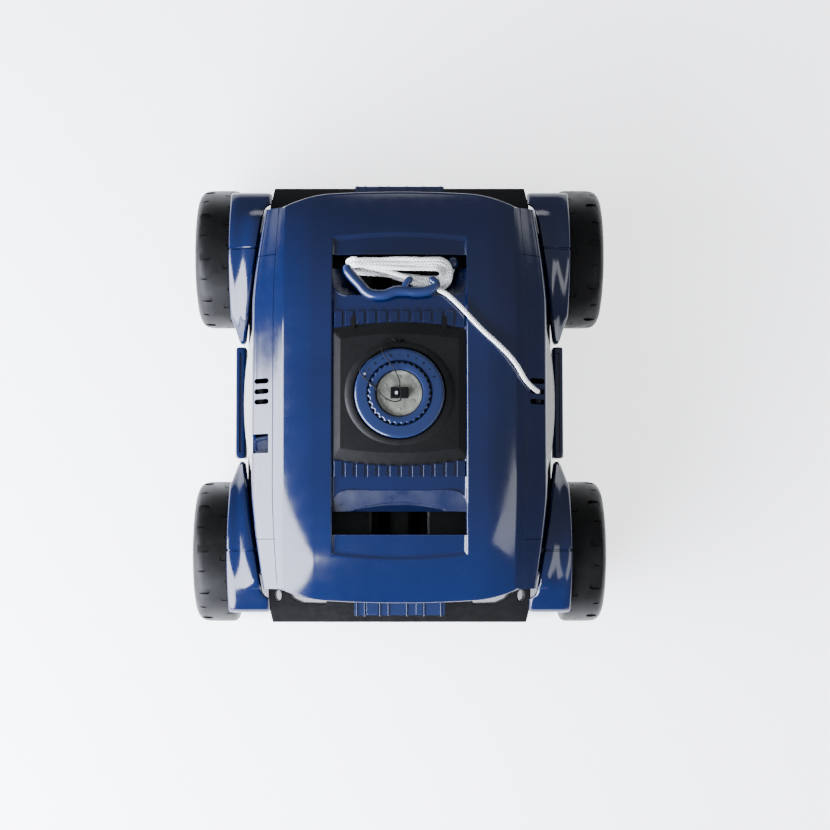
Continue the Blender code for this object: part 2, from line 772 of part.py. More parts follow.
# Plan of the hole through each strut of a bumper bar, towards +X and +Y.
BUMPER_HOLE = (
    (0.1150, 0.1865),
    (0.1175, 0.1840),
    (0.1205, 0.1840),
    (0.1230, 0.1865),
    (0.1230, 0.1925),
    (0.1205, 0.1950),
    (0.1175, 0.1950),
    (0.1150, 0.1925),
)


def make_bumper_bar(end):
    """A black bar across one end, on two struts and a web; the gaps between them go right through."""
    half = [
        (0.0000, 0.2155),
        (0.1245, 0.2155),
        (0.1290, 0.1975),
        (0.1290, 0.1762),
        (0.1105, 0.1762),
        (0.1105, 0.1975),
        (0.0720, 0.1975),
        (0.0720, 0.1930),
    ]
    outline = [(x, end * y) for x, y in half] + [(-x, end * y) for x, y in half[:0:-1]]
    name = end_name(end)
    bar = prism(f"bumper_bar_{name}", outline, 0.0520, 0.0850, "Z", "body_black")
    for side in (-1, 1):
        hole = [(side * x, end * y) for x, y in BUMPER_HOLE]
        combine(bar, prism(f"bumper_hole_cut_{name}_{side_name(side)}", hole, 0.04, 0.10))
    return bar


def fender_top(dy):
    """Height of a fender over its wheel, dy from the axle, outwards positive."""
    if dy > 0:
        return 0.150 - 0.0375 * (dy / 0.0583) ** 2.2
    return 0.150 - 0.053 * (dy / 0.0880) ** 2


def fender_outer(dy):
    """The fender covers the tyre's inner edge and narrows where it is past the tyre."""
    past = max(0.0, -0.064 - dy) / 0.024
    return 0.1645 - 0.0070 * past**0.8


def fender_inner(y):
    """The fender's inner edge follows the shell's flank with a gap, then steps in behind its end."""
    if y > 0.190:
        return 0.1240
    return 0.1515 - 0.0235 * ((y - 0.058) / 0.1463) ** 1.55


def make_fender(side, end):
    """An arch over the inner side of a wheel, with an upright plate behind the tyre."""
    rings = []
    steps = 14
    for i in range(steps + 1):
        y = 0.058 + 0.1463 * i / steps
        dy = y - WHEEL_Y
        top, outer, inner = fender_top(dy), fender_outer(dy), fender_inner(y)
        foot = max(0.050, 0.092 - 0.0009 * 1000 * min(y - 0.058, 0.2043 - y))
        section = [
            (outer, top - 0.0010),
            (outer, top - 0.0035),
            (0.1553, top - 0.0045),
            (0.1553, foot),
            (0.1528, foot),
            (0.1528, top - 0.0045),
            (inner, top - 0.0060),
            (inner, top - 0.0030),
            (inner + 0.004, top),
        ]
        rings.append([(side * x, end * y, z) for x, z in section])
    name = f"fender_{end_name(end)}_{side_name(side)}"
    fender = loft(name, rings, "shell_blue")
    x_low, x_high = sorted((side * 0.150, side * 0.160))
    centre = (end * WHEEL_Y, WHEEL_RADIUS)
    combine(fender, cylinder(f"bore_cut_{name}", AXLE_RADIUS + 0.0006, x_low, x_high, "+X", centre))
    return fender


def make_side_rail(side):
    x_low, x_high = sorted((side * 0.1484, side * 0.1580))
    name = f"side_rail_{side_name(side)}"
    rail = box(name, (x_low, -0.0550, 0.0800), (x_high, 0.0550, 0.0980), "shell_blue", edge=0.0025)
    x_low, x_high = sorted((side * 0.1537, side * 0.1553))
    combine(rail, box(f"groove_cut_{name}", (x_low, -0.048, 0.0960), (x_high, 0.048, 0.1000)))
    return rail


def make_side_panel(side):
    """A sloping crescent between the flank and the rail."""
    rings = []
    half = 0.0757
    for i in range(13):
        y = half * (i / 6 - 1)
        swell = 1 - (y / (half + 0.002)) ** 2
        low_x, low_z = 0.1412 + 0.0110 * swell, 0.1215 - 0.0168 * swell
        section = [(0.1400, 0.1235), (low_x, low_z), (low_x - 0.0022, low_z), (0.1378, 0.1235)]
        rings.append([(side * x, y, z) for x, z in section])
    return loft(f"side_panel_{side_name(side)}", rings, "panel_grey", smooth=False)


def make_wiper(end):
    y_low, y_high = sorted((end * 0.1640, end * 0.1670))
    name = f"wiper_blade_{end_name(end)}"
    return box(name, (-0.100, y_low, 0.0030), (0.100, y_high, TRAY_BOTTOM - GAP), "rubber_black")


def make_flap(end):
    """A plate that lies over an intake inside the tray and swings up when water is drawn in."""
    name = end_name(end)
    pin_y = end * (INTAKE_FAR + 0.004)
    centre = (pin_y, FLAP_PIN_Z)
    y_low, y_high = sorted((end * (INTAKE_NEAR - 0.003), pin_y))
    floor = TRAY_BOTTOM + WALL + GAP
    half = FLAP_HALF_WIDTH
    low, high = (-half, y_low, floor), (half, y_high, floor + 0.0022)
    flap = box(f"intake_flap_{name}", low, high, "body_black", origin=(0, *centre))
    knuckle = [(pin_y - end * 0.0032, floor), (pin_y, floor), *arc(centre, 0.0032, 270, 270 + end * 270, 9)]
    combine(flap, prism(f"knuckle_add_{name}", knuckle, -half, half, "X"), "UNION")
    bore = cylinder(f"flap_bore_{name}", FLAP_PIN_RADIUS + 0.0003, -0.07, 0.07, "+X", centre, steps=14)
    combine(flap, bore)
    pin = cylinder(f"flap_pin_{name}", FLAP_PIN_RADIUS, -0.0650, 0.0650, "+X", centre, "steel", steps=14)
    return flap, pin


def make_filter():
    """The filter: a frame that drops into the tray, and the mesh basket that hangs in it."""
    low, high = (-0.1350, -0.1450, FILTER_LOW), (0.1350, 0.1450, FILTER_LOW + 0.006)
    frame = box("filter_frame", low, high, "trim_blue")
    combine(frame, box("frame_cut", (-0.1200, -0.1300, 0.08), (0.1200, 0.1300, 0.10)))
    basket = box("filter_basket", (-0.1197, -0.1297, 0.0560), (0.1197, 0.1297, 0.0940), "filter_mesh")
    combine(basket, box("basket_cut", (-0.1182, -0.1282, 0.0575), (0.1182, 0.1282, 0.11)))
    return frame, basket


# ---------------------------------------------------------------- wheels


def make_wheel(side, end):
    """Tyre, hub and cap of one wheel, with the stub axle it turns on."""
    where = f"{end_name(end)}_{side_name(side)}"
    axis = "+X" if side > 0 else "-X"
    centre = (side * WHEEL_X, end * WHEEL_Y, WHEEL_RADIUS)
    half = (TYRE_OUTER_X - TYRE_INNER_X) / 2
    tread = [(0.0665, -half), (0.0685, -half + 0.003), (WHEEL_RADIUS, -half + 0.008), (WHEEL_RADIUS, 0.002)]
    tread += [(0.0683, half - 0.009), (0.0645, half - 0.0035), (0.0570, half - 0.0008), (0.0520, half)]
    profile = [(RIM_RADIUS + GAP, -half + 0.001), *tread, (RIM_RADIUS + GAP, half - 0.002)]
    tyre = turned(f"tyre_{where}", profile, axis, centre, "tyre_black", steps=32)

    bore = AXLE_RADIUS + AXLE_PLAY
    profile = [
        (bore, -0.0220),
        (0.0120, -0.0220),
        (0.0120, 0.0020),
        (0.0450, 0.0080),
        (0.0450, -0.0200),
        (RIM_RADIUS, -0.0200),
        (RIM_RADIUS, 0.0190),
        (0.0460, 0.0190),
        (0.0440, 0.0120),
        (0.0150, 0.0080),
        (0.0130, 0.0145),
        (bore, 0.0145),
    ]
    hub = turned(f"hub_{where}", profile, axis, centre, "body_black", steps=24)
    cap_profile = [(0, 0.0205), (0.0090, 0.0200), (0.0130, 0.0180), (0.0130, 0.0148), (0, 0.0148)]
    cap = turned(f"hub_cap_{where}", cap_profile, axis, centre, "trim_blue", steps=16)
    holder = empty(f"wheel_axis_{where}", centre)
    parent_to(holder, tyre, hub, cap)

    origin = (0, end * WHEEL_Y, WHEEL_RADIUS)
    profile = [
        (0, WHEEL_X + 0.0142),
        (AXLE_RADIUS, WHEEL_X + 0.0142),
        (AXLE_RADIUS, 0.1445),
        (0.0100, 0.1445),
        (0.0100, 0.1400),
        (0, 0.1400),
    ]
    turned(f"axle_{where}", profile, axis, origin, "steel", steps=24)


# ---------------------------------------------------------------- recovery rope

# Middle of the rope, from inside the middle vent of the right flank, over the crown, to the hank.
ROPE_ROUTE = (
    (0.1215, 0.0042, 0.1560),
    (0.1262, 0.0042, 0.1595),
    (0.1290, 0.0042, 0.1650),
    (0.1294, 0.0050, 0.1695),
    (0.1268, 0.0072, 0.1770),
    (0.1215, 0.0108, 0.1855),
    (0.1165, 0.0150, 0.1915),
    (0.1097, 0.0257, 0.1993),
    (0.1020, 0.0355, 0.2022),
    (0.0908, 0.0464, 0.2050),
    (0.0786, 0.0570, 0.2077),
    (0.0685, 0.0671, 0.2092),
    (0.0584, 0.0781, 0.2097),
    (0.0483, 0.0882, 0.2092),
    (0.0425, 0.0930, 0.2082),
)
HANK_LOW = 0.1850
HANK_HIGH = 0.2060

# Middle line of the grip bar, from its left tip along the wave to the curl at its right end.
GRIP_ROUTE = (
    (-0.0480, 0.1165, 0.2010),
    (-0.0479, 0.1120, 0.2025),
    (-0.0425, 0.1068, 0.2050),
    (-0.0356, 0.1014, 0.2070),
    (-0.0310, 0.0945, 0.2085),
    (-0.0210, 0.0901, 0.2093),
    (-0.0118, 0.0922, 0.2095),
    (-0.0041, 0.0955, 0.2097),
    (0.0066, 0.0960, 0.2097),
    (0.0143, 0.0925, 0.2096),
    (0.0219, 0.0901, 0.2096),
    (0.0311, 0.0932, 0.2104),
    (0.0352, 0.0980, 0.2108),
    (0.0335, 0.1030, 0.2108),
    (0.0275, 0.1048, 0.2108),
)
GRIP_THICKNESS = 0.0085


def make_rope():
    run = tube("rope_run", smooth_route(ROPE_ROUTE, ROPE_DIAMETER * 2.2), ROPE_DIAMETER, "rope_white")
    tip = arc((-0.0395, 0.1225), 0.0055, 90, 250)
    loop = arc((0.0340, 0.1130), 0.0145, -90, 90, 10)
    outline = [*loop, *tip]
    hank = prism("rope_hank", outline, HANK_LOW, HANK_HIGH, "Z", "rope_white")
    bevel(hank, 0.004)
    grip = tube("rope_grip", smooth_route(GRIP_ROUTE, 0.008), GRIP_THICKNESS, "trim_blue", resolution=3)
    return run, hank, grip


def main():
    wheels_and_base()
    power_unit()


def wheels_and_base():
    make_base_tray()
    for end in (-1, 1):
        make_bumper_bar(end)
        make_wiper(end)
        flap, _ = make_flap(end)
        holder = empty(f"flap_axis_{end_name(end)}", flap.location)
        parent_to(holder, flap)
        for side in (-1, 1):
            make_fender(side, end)
            make_wheel(side, end)
    for side in (-1, 1):
        make_side_rail(side)
    parent_to(empty("filter_slide", (0, 0, 0)), *make_filter())


def power_unit():
    fixed = [make_top_shell(), make_centre_cover(), make_port_socket(), make_port_window()]
    housing, shaft = make_motor()
    fixed += [housing, make_deck(), make_control_box()]
    rotor = [shaft]
    for end in (-1, 1):
        fixed += [make_duct(end), make_nozzle(end)]
        rotor.append(make_impeller(end))
    for side in (-1, 1):
        fixed += [make_battery(side), make_side_panel(side)]
    lever, pin = make_latch()
    fixed.append(pin)
    fixed += make_rope()
    unit = empty("power_unit_slide", (0, 0, 0))
    parent_to(unit, *fixed)
    tether = tube("plug_tether", smooth_route(TETHER_ROUTE, 0.0030), TETHER_DIAMETER, "rubber_black", 2)
    axes = [
        (empty("rotor_axis", (0, 0, DRIVE_Z)), rotor),
        (empty("dial_axis", (0, 0, 0)), [make_dial_ring()]),
        (empty("collar_axis", (0, 0, 0)), [make_lock_collar()]),
        (empty("plug_slide", (0, 0, 0)), [make_port_plug(), tether]),
        (empty("latch_axis", LATCH_PIVOT), [lever]),
    ]
    for holder, pieces in axes:
        parent_to(holder, *pieces)
        parent_to(unit, holder)


main()
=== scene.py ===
import json
import math

import bmesh
import bpy
from mathutils import Matrix, Vector


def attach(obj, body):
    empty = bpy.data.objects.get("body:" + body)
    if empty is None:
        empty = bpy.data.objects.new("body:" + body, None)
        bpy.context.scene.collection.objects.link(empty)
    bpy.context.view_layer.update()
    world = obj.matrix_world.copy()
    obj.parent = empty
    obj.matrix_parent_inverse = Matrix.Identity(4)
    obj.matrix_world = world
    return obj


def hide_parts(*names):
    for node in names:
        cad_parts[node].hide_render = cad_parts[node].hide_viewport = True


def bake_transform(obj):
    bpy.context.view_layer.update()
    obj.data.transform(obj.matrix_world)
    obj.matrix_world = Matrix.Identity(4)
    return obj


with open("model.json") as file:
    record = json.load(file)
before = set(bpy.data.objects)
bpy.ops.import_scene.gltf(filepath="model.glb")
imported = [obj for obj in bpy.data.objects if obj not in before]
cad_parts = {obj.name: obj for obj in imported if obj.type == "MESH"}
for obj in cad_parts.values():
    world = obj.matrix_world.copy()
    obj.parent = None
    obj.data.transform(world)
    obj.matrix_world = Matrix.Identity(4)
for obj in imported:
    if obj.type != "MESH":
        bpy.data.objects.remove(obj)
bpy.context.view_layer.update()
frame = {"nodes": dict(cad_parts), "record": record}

SIDES = (("left", -1), ("right", 1))
ENDS = (("front", -1), ("rear", 1))
CRISP_ANGLE = 35
WELD_DISTANCE = 0.000005


# ---- mesh helpers


def link(name, data, *materials):
    """A new object in the scene, with its materials."""
    obj = bpy.data.objects.new(name, data)
    bpy.context.scene.collection.objects.link(obj)
    for material in materials:
        data.materials.append(material)
    return obj


def shade(mesh, angle):
    """Smooth shading; edges sharper than the angle, in degrees, stay crisp."""
    mesh.shade_smooth()
    mesh.set_sharp_from_angle(angle=math.radians(angle))


def mesh_piece(name, verts, faces, material, angle=CRISP_ANGLE):
    """A smooth-shaded mesh with its normals facing out."""
    mesh = bpy.data.meshes.new(name)
    mesh.from_pydata([tuple(v) for v in verts], [], faces)
    bm = bmesh.new()
    bm.from_mesh(mesh)
    bmesh.ops.recalc_face_normals(bm, faces=bm.faces)
    bm.to_mesh(mesh)
    bm.free()
    shade(mesh, angle)
    return link(name, mesh, material)


def loft_piece(name, rings, material, closed=True, loop=False, angle=CRISP_ANGLE):
    """Joins rings of equal point counts.

    closed: each ring is a loop. loop: the last ring joins the first.
    """
    count = len(rings[0])
    verts = [point for ring in rings for point in ring]
    faces = []
    spans = len(rings) if loop else len(rings) - 1
    for k in range(spans):
        a, b = k * count, (k + 1) % len(rings) * count
        for i in range(count if closed else count - 1):
            j = (i + 1) % count
            faces.append((a + i, a + j, b + j, b + i))
    if closed and not loop:
        faces.append(tuple(range(count))[::-1])
        faces.append(tuple(range(len(verts) - count, len(verts))))
    return mesh_piece(name, verts, faces, material, angle)


def turned_piece(name, profile, material, axis="Z", centre=(0, 0, 0), steps=96):
    """Turns a profile of (radius, height) points about an axis through the centre. Radius 0 closes it."""
    rings = []
    for i in range(steps):
        turn = 2 * math.pi * i / steps
        ring = [place(axis, r * math.cos(turn), r * math.sin(turn), h) for r, h in profile]
        rings.append([Vector(centre) + v for v in ring])
    obj = loft_piece(name, rings, material, closed=profile[0][0] > 0, loop=True)
    weld(obj)
    return obj


def place(axis, a, b, along):
    """The point a distance along an axis and (a, b) across it."""
    return Vector({"X": (along, a, b), "Y": (a, along, b), "Z": (a, b, along)}[axis])


def weld(obj):
    """Merges the points that meet on a turned piece's axis."""
    bm = bmesh.new()
    bm.from_mesh(obj.data)
    bmesh.ops.remove_doubles(bm, verts=bm.verts, dist=WELD_DISTANCE)
    bmesh.ops.dissolve_degenerate(bm, edges=bm.edges, dist=WELD_DISTANCE)
    bmesh.ops.recalc_face_normals(bm, faces=bm.faces)
    bm.to_mesh(obj.data)
    bm.free()


def prism_piece(name, outline, low, high, material, axis="Z"):
    rings = [[place(axis, a, b, along) for a, b in outline] for along in (low, high)]
    return loft_piece(name, rings, material, angle=30)


def box_piece(name, low, high, material, edge=0.0):
    """A box between two corners, its edges rounded to the width given."""
    outline = [(low[0], low[1]), (high[0], low[1]), (high[0], high[1]), (low[0], high[1])]
    box = prism_piece(name, outline, low[2], high[2], material)
    if edge:
        soften(box, edge, 3)
    return box


def soften(obj, width, segments):
    """Rounds a piece's crisp edges."""
    modifier = obj.modifiers.new("edge", "BEVEL")
    modifier.width = width
    modifier.segments = segments
    modifier.limit_method = "ANGLE"
    modifier.angle_limit = math.radians(30)
    modifier.harden_normals = True


def joined(name, pieces):
    """Applies the modifiers of several pieces and makes one object of them."""
    graph = bpy.context.evaluated_depsgraph_get()
    bm = bmesh.new()
    materials = []
    for piece in pieces:
        material = piece.data.materials[0]
        if material not in materials:
            materials.append(material)
        mesh = bpy.data.meshes.new_from_object(piece.evaluated_get(graph))
        for polygon in mesh.polygons:
            polygon.material_index = materials.index(material)
        bm.from_mesh(mesh)
    mesh = bpy.data.meshes.new(name)
    bm.to_mesh(mesh)
    bm.free()
    for piece in pieces:
        bpy.data.objects.remove(piece, do_unlink=True)
    return link(name, mesh, *materials)


def carve(obj, cutters):
    """Cuts closed shapes out of a closed piece and applies the result."""
    cutter = joined(f"{obj.name}_cutter", cutters)
    modifier = obj.modifiers.new("cut", "BOOLEAN")
    modifier.solver = "EXACT"
    modifier.use_self = True
    modifier.object = cutter
    graph = bpy.context.evaluated_depsgraph_get()
    mesh = bpy.data.meshes.new_from_object(obj.evaluated_get(graph))
    obj.modifiers.clear()
    obj.data = mesh
    bpy.data.objects.remove(cutter, do_unlink=True)
    shade(mesh, CRISP_ANGLE)


def arc(centre, radius, start, end, steps):
    """Points along an arc between two angles in degrees."""
    angles = [math.radians(start + (end - start) * i / steps) for i in range(steps + 1)]
    return [(centre[0] + radius * math.cos(a), centre[1] + radius * math.sin(a)) for a in angles]


def smooth_route(points, step):
    """Points about a step apart on a smooth curve through the route's own points."""
    points = [Vector(p) for p in points]
    padded = [points[0] * 2 - points[1], *points, points[-1] * 2 - points[-2]]
    found = []
    for before, a, b, after in zip(padded, padded[1:], padded[2:], padded[3:]):
        pieces = max(1, round((b - a).length / step))
        for i in range(pieces):
            t = i / pieces
            bend = (2 * before - 5 * a + 4 * b - after) * t * t
            twist = (3 * a - before - 3 * b + after) * t * t * t
            found.append(0.5 * (2 * a + (b - before) * t + bend + twist))
    return found + [points[-1]]


def tube_piece(name, line, radius_at, material, sides=12):
    """A tube along a line of points, with its length along U and its turn along V for the material."""
    rings, lengths = [], [0.0]
    across = None
    for i, point in enumerate(line):
        ahead = (line[min(i + 1, len(line) - 1)] - line[max(i - 1, 0)]).normalized()
        if across is None:
            across = ahead.orthogonal().normalized()
        across = (across - ahead * across.dot(ahead)).normalized()
        other = ahead.cross(across)
        radius = radius_at(i / (len(line) - 1))
        ring = []
        for s in range(sides):
            turn = 2 * math.pi * s / sides
            ring.append(point + (across * math.cos(turn) + other * math.sin(turn)) * radius)
        rings.append(ring)
        if i:
            lengths.append(lengths[-1] + (point - line[i - 1]).length)
    obj = loft_piece(name, rings, material, angle=80)
    layer = obj.data.uv_layers.new(name="along")
    for polygon in obj.data.polygons:
        columns = [vertex % sides for vertex in polygon.vertices]
        wrap = sides - 1 in columns and 0 in columns
        for loop_index, vertex in zip(polygon.loop_indices, polygon.vertices):
            column = vertex % sides
            if wrap and column == 0 and len(polygon.vertices) == 4:
                column = sides
            layer.data[loop_index].uv = (lengths[vertex // sides] * 100, column / sides)
    return obj


# ---- materials


MESH_WAVE_NUMBER = 5200


class Nodes:
    """Short calls for building a material's nodes."""

    def __init__(self, name):
        self.material = bpy.data.materials.new(name)
        self.material.use_nodes = True
        self.tree = self.material.node_tree
        self.shader = self.tree.nodes["Principled BSDF"]

    def add(self, kind, **settings):
        node = self.tree.nodes.new(kind)
        for key, value in settings.items():
            setattr(node, key, value)
        return node

    def join(self, source, target):
        self.tree.links.new(source, target)

    def set(self, **values):
        """Sets the shader's own values; an underscore stands for a space in a socket's name."""
        for key, value in values.items():
            self.shader.inputs[key.replace("_", " ")].default_value = value

    def coordinates(self, kind="Object"):
        return self.add("ShaderNodeTexCoord").outputs[kind]

    def split(self, point):
        node = self.add("ShaderNodeSeparateXYZ")
        self.join(point, node.inputs[0])
        return node.outputs

    def noise(self, scale, detail, vector=None, roughness=0.5):
        node = self.add("ShaderNodeTexNoise")
        node.inputs["Scale"].default_value = scale
        node.inputs["Detail"].default_value = detail
        node.inputs["Roughness"].default_value = roughness
        self.join(vector or self.coordinates(), node.inputs["Vector"])
        return node.outputs["Fac"]

    def ramp(self, value, low, high, start=0.0, end=1.0):
        """Maps a value to a colour or, where low and high are numbers, to a grey of that size."""
        node = self.add("ShaderNodeMapRange")
        node.inputs["From Min"].default_value = start
        node.inputs["From Max"].default_value = end
        self.join(value, node.inputs["Value"])
        if isinstance(low, (int, float)):
            node.inputs["To Min"].default_value = low
            node.inputs["To Max"].default_value = high
            return node.outputs["Result"]
        mix = self.add("ShaderNodeMix", data_type="RGBA")
        mix.inputs["A"].default_value = (*low, 1)
        mix.inputs["B"].default_value = (*high, 1)
        self.join(node.outputs["Result"], mix.inputs["Factor"])
        return mix.outputs["Result"]

    def math(self, operation, a, b=None):
        node = self.add("ShaderNodeMath", operation=operation)
        for socket, value in zip(node.inputs, (a, b)):
            if isinstance(value, (int, float)):
                socket.default_value = value
            elif value is not None:
                self.join(value, socket)
        return node.outputs[0]

    def bump(self, height, distance):
        node = self.add("ShaderNodeBump")
        node.inputs["Distance"].default_value = distance
        self.join(height, node.inputs["Height"])
        if self.shader.inputs["Normal"].is_linked:
            self.join(self.shader.inputs["Normal"].links[0].from_socket, node.inputs["Normal"])
        self.join(node.outputs["Normal"], self.shader.inputs["Normal"])

    def colour(self, source):
        self.join(source, self.shader.inputs["Base Color"])

    def roughness(self, source):
        self.join(source, self.shader.inputs["Roughness"])


def gloss_plastic(name, low, high, roughness, ripple=0.000018):
    """Moulded gloss plastic: faint flow marks in its colour, uneven gloss and a slight orange peel."""
    m = Nodes(name)
    flow = m.noise(14, 4)
    m.colour(m.ramp(flow, low, high, 0.3, 0.7))
    m.roughness(m.ramp(m.noise(60, 3), roughness * 0.8, roughness * 1.3, 0.3, 0.7))
    m.bump(m.noise(130, 2), ripple)
    m.set(Specular_IOR_Level=0.42)
    return m.material


def grained_plastic(name, low, high, roughness, grain=1400, depth=0.00004, specular=0.4):
    """Moulded plastic with a fine spark-eroded grain, rubbed a little paler in places."""
    m = Nodes(name)
    m.colour(m.ramp(m.noise(35, 5), low, high, 0.35, 0.7))
    m.roughness(m.ramp(m.noise(220, 4), roughness * 0.85, roughness * 1.2, 0.3, 0.7))
    m.bump(m.noise(grain, 2), depth)
    m.set(Specular_IOR_Level=specular)
    return m.material


def rubber(name, low, high, roughness, specular):
    """Moulded rubber: mottled, with a bloom of dust and a matt grain."""
    m = Nodes(name)
    m.colour(m.ramp(m.noise(24, 6, roughness=0.65), low, high, 0.4, 0.75))
    m.roughness(m.ramp(m.noise(90, 4), roughness * 0.85, min(1, roughness * 1.2), 0.3, 0.7))
    m.bump(m.noise(900, 3), 0.00004)
    m.set(Specular_IOR_Level=specular)
    return m.material


def brushed_metal(name, low, high):
    """Turned metal: fine marks that run round it."""
    m = Nodes(name)
    m.set(Metallic=1.0)
    mapping = m.add("ShaderNodeMapping")
    mapping.inputs["Scale"].default_value = (900, 40, 40)
    m.join(m.coordinates(), mapping.inputs["Vector"])
    marks = m.noise(1, 3, mapping.outputs["Vector"])
    m.colour(m.ramp(marks, low, high, 0.3, 0.7))
    m.roughness(m.ramp(marks, 0.22, 0.42, 0.3, 0.7))
    m.bump(marks, 0.00002)
    return m.material


def woven_mesh(name):
    """A fine filter mesh: crossed threads with open squares between them, the squares painted dark as shade.
    """
    m = Nodes(name)
    point = m.split(m.coordinates())
    threads = None
    for axis in ("X", "Y", "Z"):
        wave = m.math("SINE", m.math("MULTIPLY", point[axis], MESH_WAVE_NUMBER))
        threads = wave if threads is None else m.math("MAXIMUM", threads, wave)
    # The dark open squares are painted shade seen through the mesh.
    m.colour(m.ramp(threads, (0.2, 0.21, 0.22), (0.62, 0.63, 0.62), 0.2, 0.95))
    m.bump(threads, 0.00015)
    m.set(Roughness=0.75)
    return m.material


def braided_rope(name):
    """White cord: two sets of strands that cross round it, with painted shade in grey between them."""
    m = Nodes(name)
    point = m.split(m.coordinates("UV"))
    along = m.math("MULTIPLY", point["X"], 2 * math.pi * 3.2)
    turn = m.math("MULTIPLY", point["Y"], 2 * math.pi * 4)
    one = m.math("SINE", m.math("ADD", along, turn))
    other = m.math("SINE", m.math("SUBTRACT", along, turn))
    braid = m.math("MAXIMUM", one, other)
    # The grey between the strands is painted shade in the braid's grooves.
    m.colour(m.ramp(braid, (0.66, 0.66, 0.65), (0.93, 0.93, 0.92), -0.5, 0.6))
    m.bump(braid, 0.0005)
    m.bump(m.noise(2600, 3), 0.00012)
    m.set(Roughness=0.82, Sheen_Weight=0.25, Sheen_Roughness=0.6)
    return m.material


def cloudy_window(name):
    """Translucent grey plastic with a cloudy body and a polished face."""
    m = Nodes(name)
    m.colour(m.ramp(m.noise(90, 5), (0.085, 0.087, 0.072), (0.195, 0.198, 0.166), 0.38, 0.66))
    m.bump(m.noise(160, 2), 0.00005)
    m.set(Roughness=0.12, Transmission_Weight=0.08, IOR=1.46)
    return m.material


BLUE = gloss_plastic("shell_blue", (0.0012, 0.0044, 0.026), (0.0016, 0.0056, 0.032), 0.12)
# The shell's blue painted darker: painted shade for the grip walls and the finger scoop.
SHADED_RECESS_BLUE = gloss_plastic("recess_blue_painted_shade", (0.0008, 0.0032, 0.019), (0.0011, 0.0042, 0.024), 0.3, 0.00001)
TRIM = gloss_plastic("trim_blue", (0.005, 0.011, 0.042), (0.0062, 0.0135, 0.051), 0.18)
BLACK = grained_plastic(
    "body_black", (0.0024, 0.0024, 0.0025), (0.004, 0.004, 0.0042), 0.42, specular=0.26
)
SATIN = grained_plastic(
    "cover_grey", (0.004, 0.004, 0.0041), (0.0055, 0.0055, 0.0056), 0.46, 900, 0.00002, 0.1
)
TYRE = rubber("tyre_black", (0.002, 0.002, 0.002), (0.005, 0.005, 0.0048), 0.42, 0.11)
PANEL = grained_plastic("panel_grey", (0.2, 0.2, 0.184), (0.225, 0.225, 0.206), 0.34, 1800, 0.00002)
RUBBER = rubber("rubber_black", (0.0012, 0.0012, 0.0012), (0.0028, 0.0028, 0.0028), 0.5, 0.12)
WINDOW = cloudy_window("window_clear")
MESH = woven_mesh("filter_mesh")
STEEL = brushed_metal("steel", (0.5, 0.5, 0.51), (0.64, 0.64, 0.65))
ROPE = braided_rope("rope_white")
# The trim's blue painted much darker: painted shade on the latch, which sits deep in the flank's recess.
LATCH_SHADE_BLUE = grained_plastic(
    "latch_painted_shade", (0.0005, 0.002, 0.0105), (0.0007, 0.0026, 0.013), 0.5, specular=0.02
)
MARK = grained_plastic("mark_white", (0.3, 0.32, 0.36), (0.36, 0.38, 0.42), 0.45)
# A near-black blue: painted shade in the crescent sunk in the finger scoop's foot.
HOLLOW_SHADE_BLUE = grained_plastic(
    "hollow_painted_shade", (0.0003, 0.0014, 0.01), (0.0005, 0.0019, 0.013), 0.5, specular=0.03
)
FINISH = {
    "shell_blue": BLUE,
    "trim_blue": TRIM,
    "body_black": BLACK,
    "cover_grey": SATIN,
    "tyre_black": TYRE,
    "panel_grey": PANEL,
    "rubber_black": RUBBER,
    "window_clear": WINDOW,
    "filter_mesh": MESH,
    "steel": STEEL,
    "rope_white": ROPE,
}


def settle(piece, body, slot, *nodes):
    """Fixes a piece to its body and hides the CAD nodes it stands for; its slot is not used."""
    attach(piece, body)
    if nodes:
        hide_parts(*nodes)
    return piece


# ---- camera, floor and light

CAMERA_LENS = 75.8
CAMERA_SHIFT_X = 0.0187
CAMERA_PLACE = (0, -0.1316, 1.812)
CAMERA_TILT = 3.98
FLOOR_HALF = 6
# The floor under the object is in its shade: dim inside the first reach, open past the second.
SHADE_REACH_X = (0.146, 0.162)
SHADE_REACH_Y = (0.202, 0.216)
FLOOR_GLOW = (0.05, 1.9)
SHADED_FLOOR = (0.22, 0.22, 0.22)
OPEN_FLOOR = (0.82, 0.82, 0.83)
WORLD_STRENGTH = (0.35, 0.75)
# Name, place, the point it faces, size, power and colour.
LIGHTS = (
    ("key_left", (-1.105, -0.686, 0.62), (-0.006, 0.004, 0.12), (2.16, 1.1), 290, (0.84, 0.88, 1.0)),
    ("strip_right", (1.05, -0.6, 1.12), (0, -0.1, 0.15), (1.25, 0.34), 7, (0.95, 0.97, 1.0)),
)


def make_camera():
    """The camera looks down on the object from above its front."""
    data = bpy.data.cameras.new("camera")
    data.lens = CAMERA_LENS
    data.sensor_width = 36
    data.shift_x = CAMERA_SHIFT_X
    camera = link("camera", data)
    camera.location = CAMERA_PLACE
    camera.rotation_euler = (math.radians(CAMERA_TILT), 0, 0)
    bpy.context.scene.camera = camera


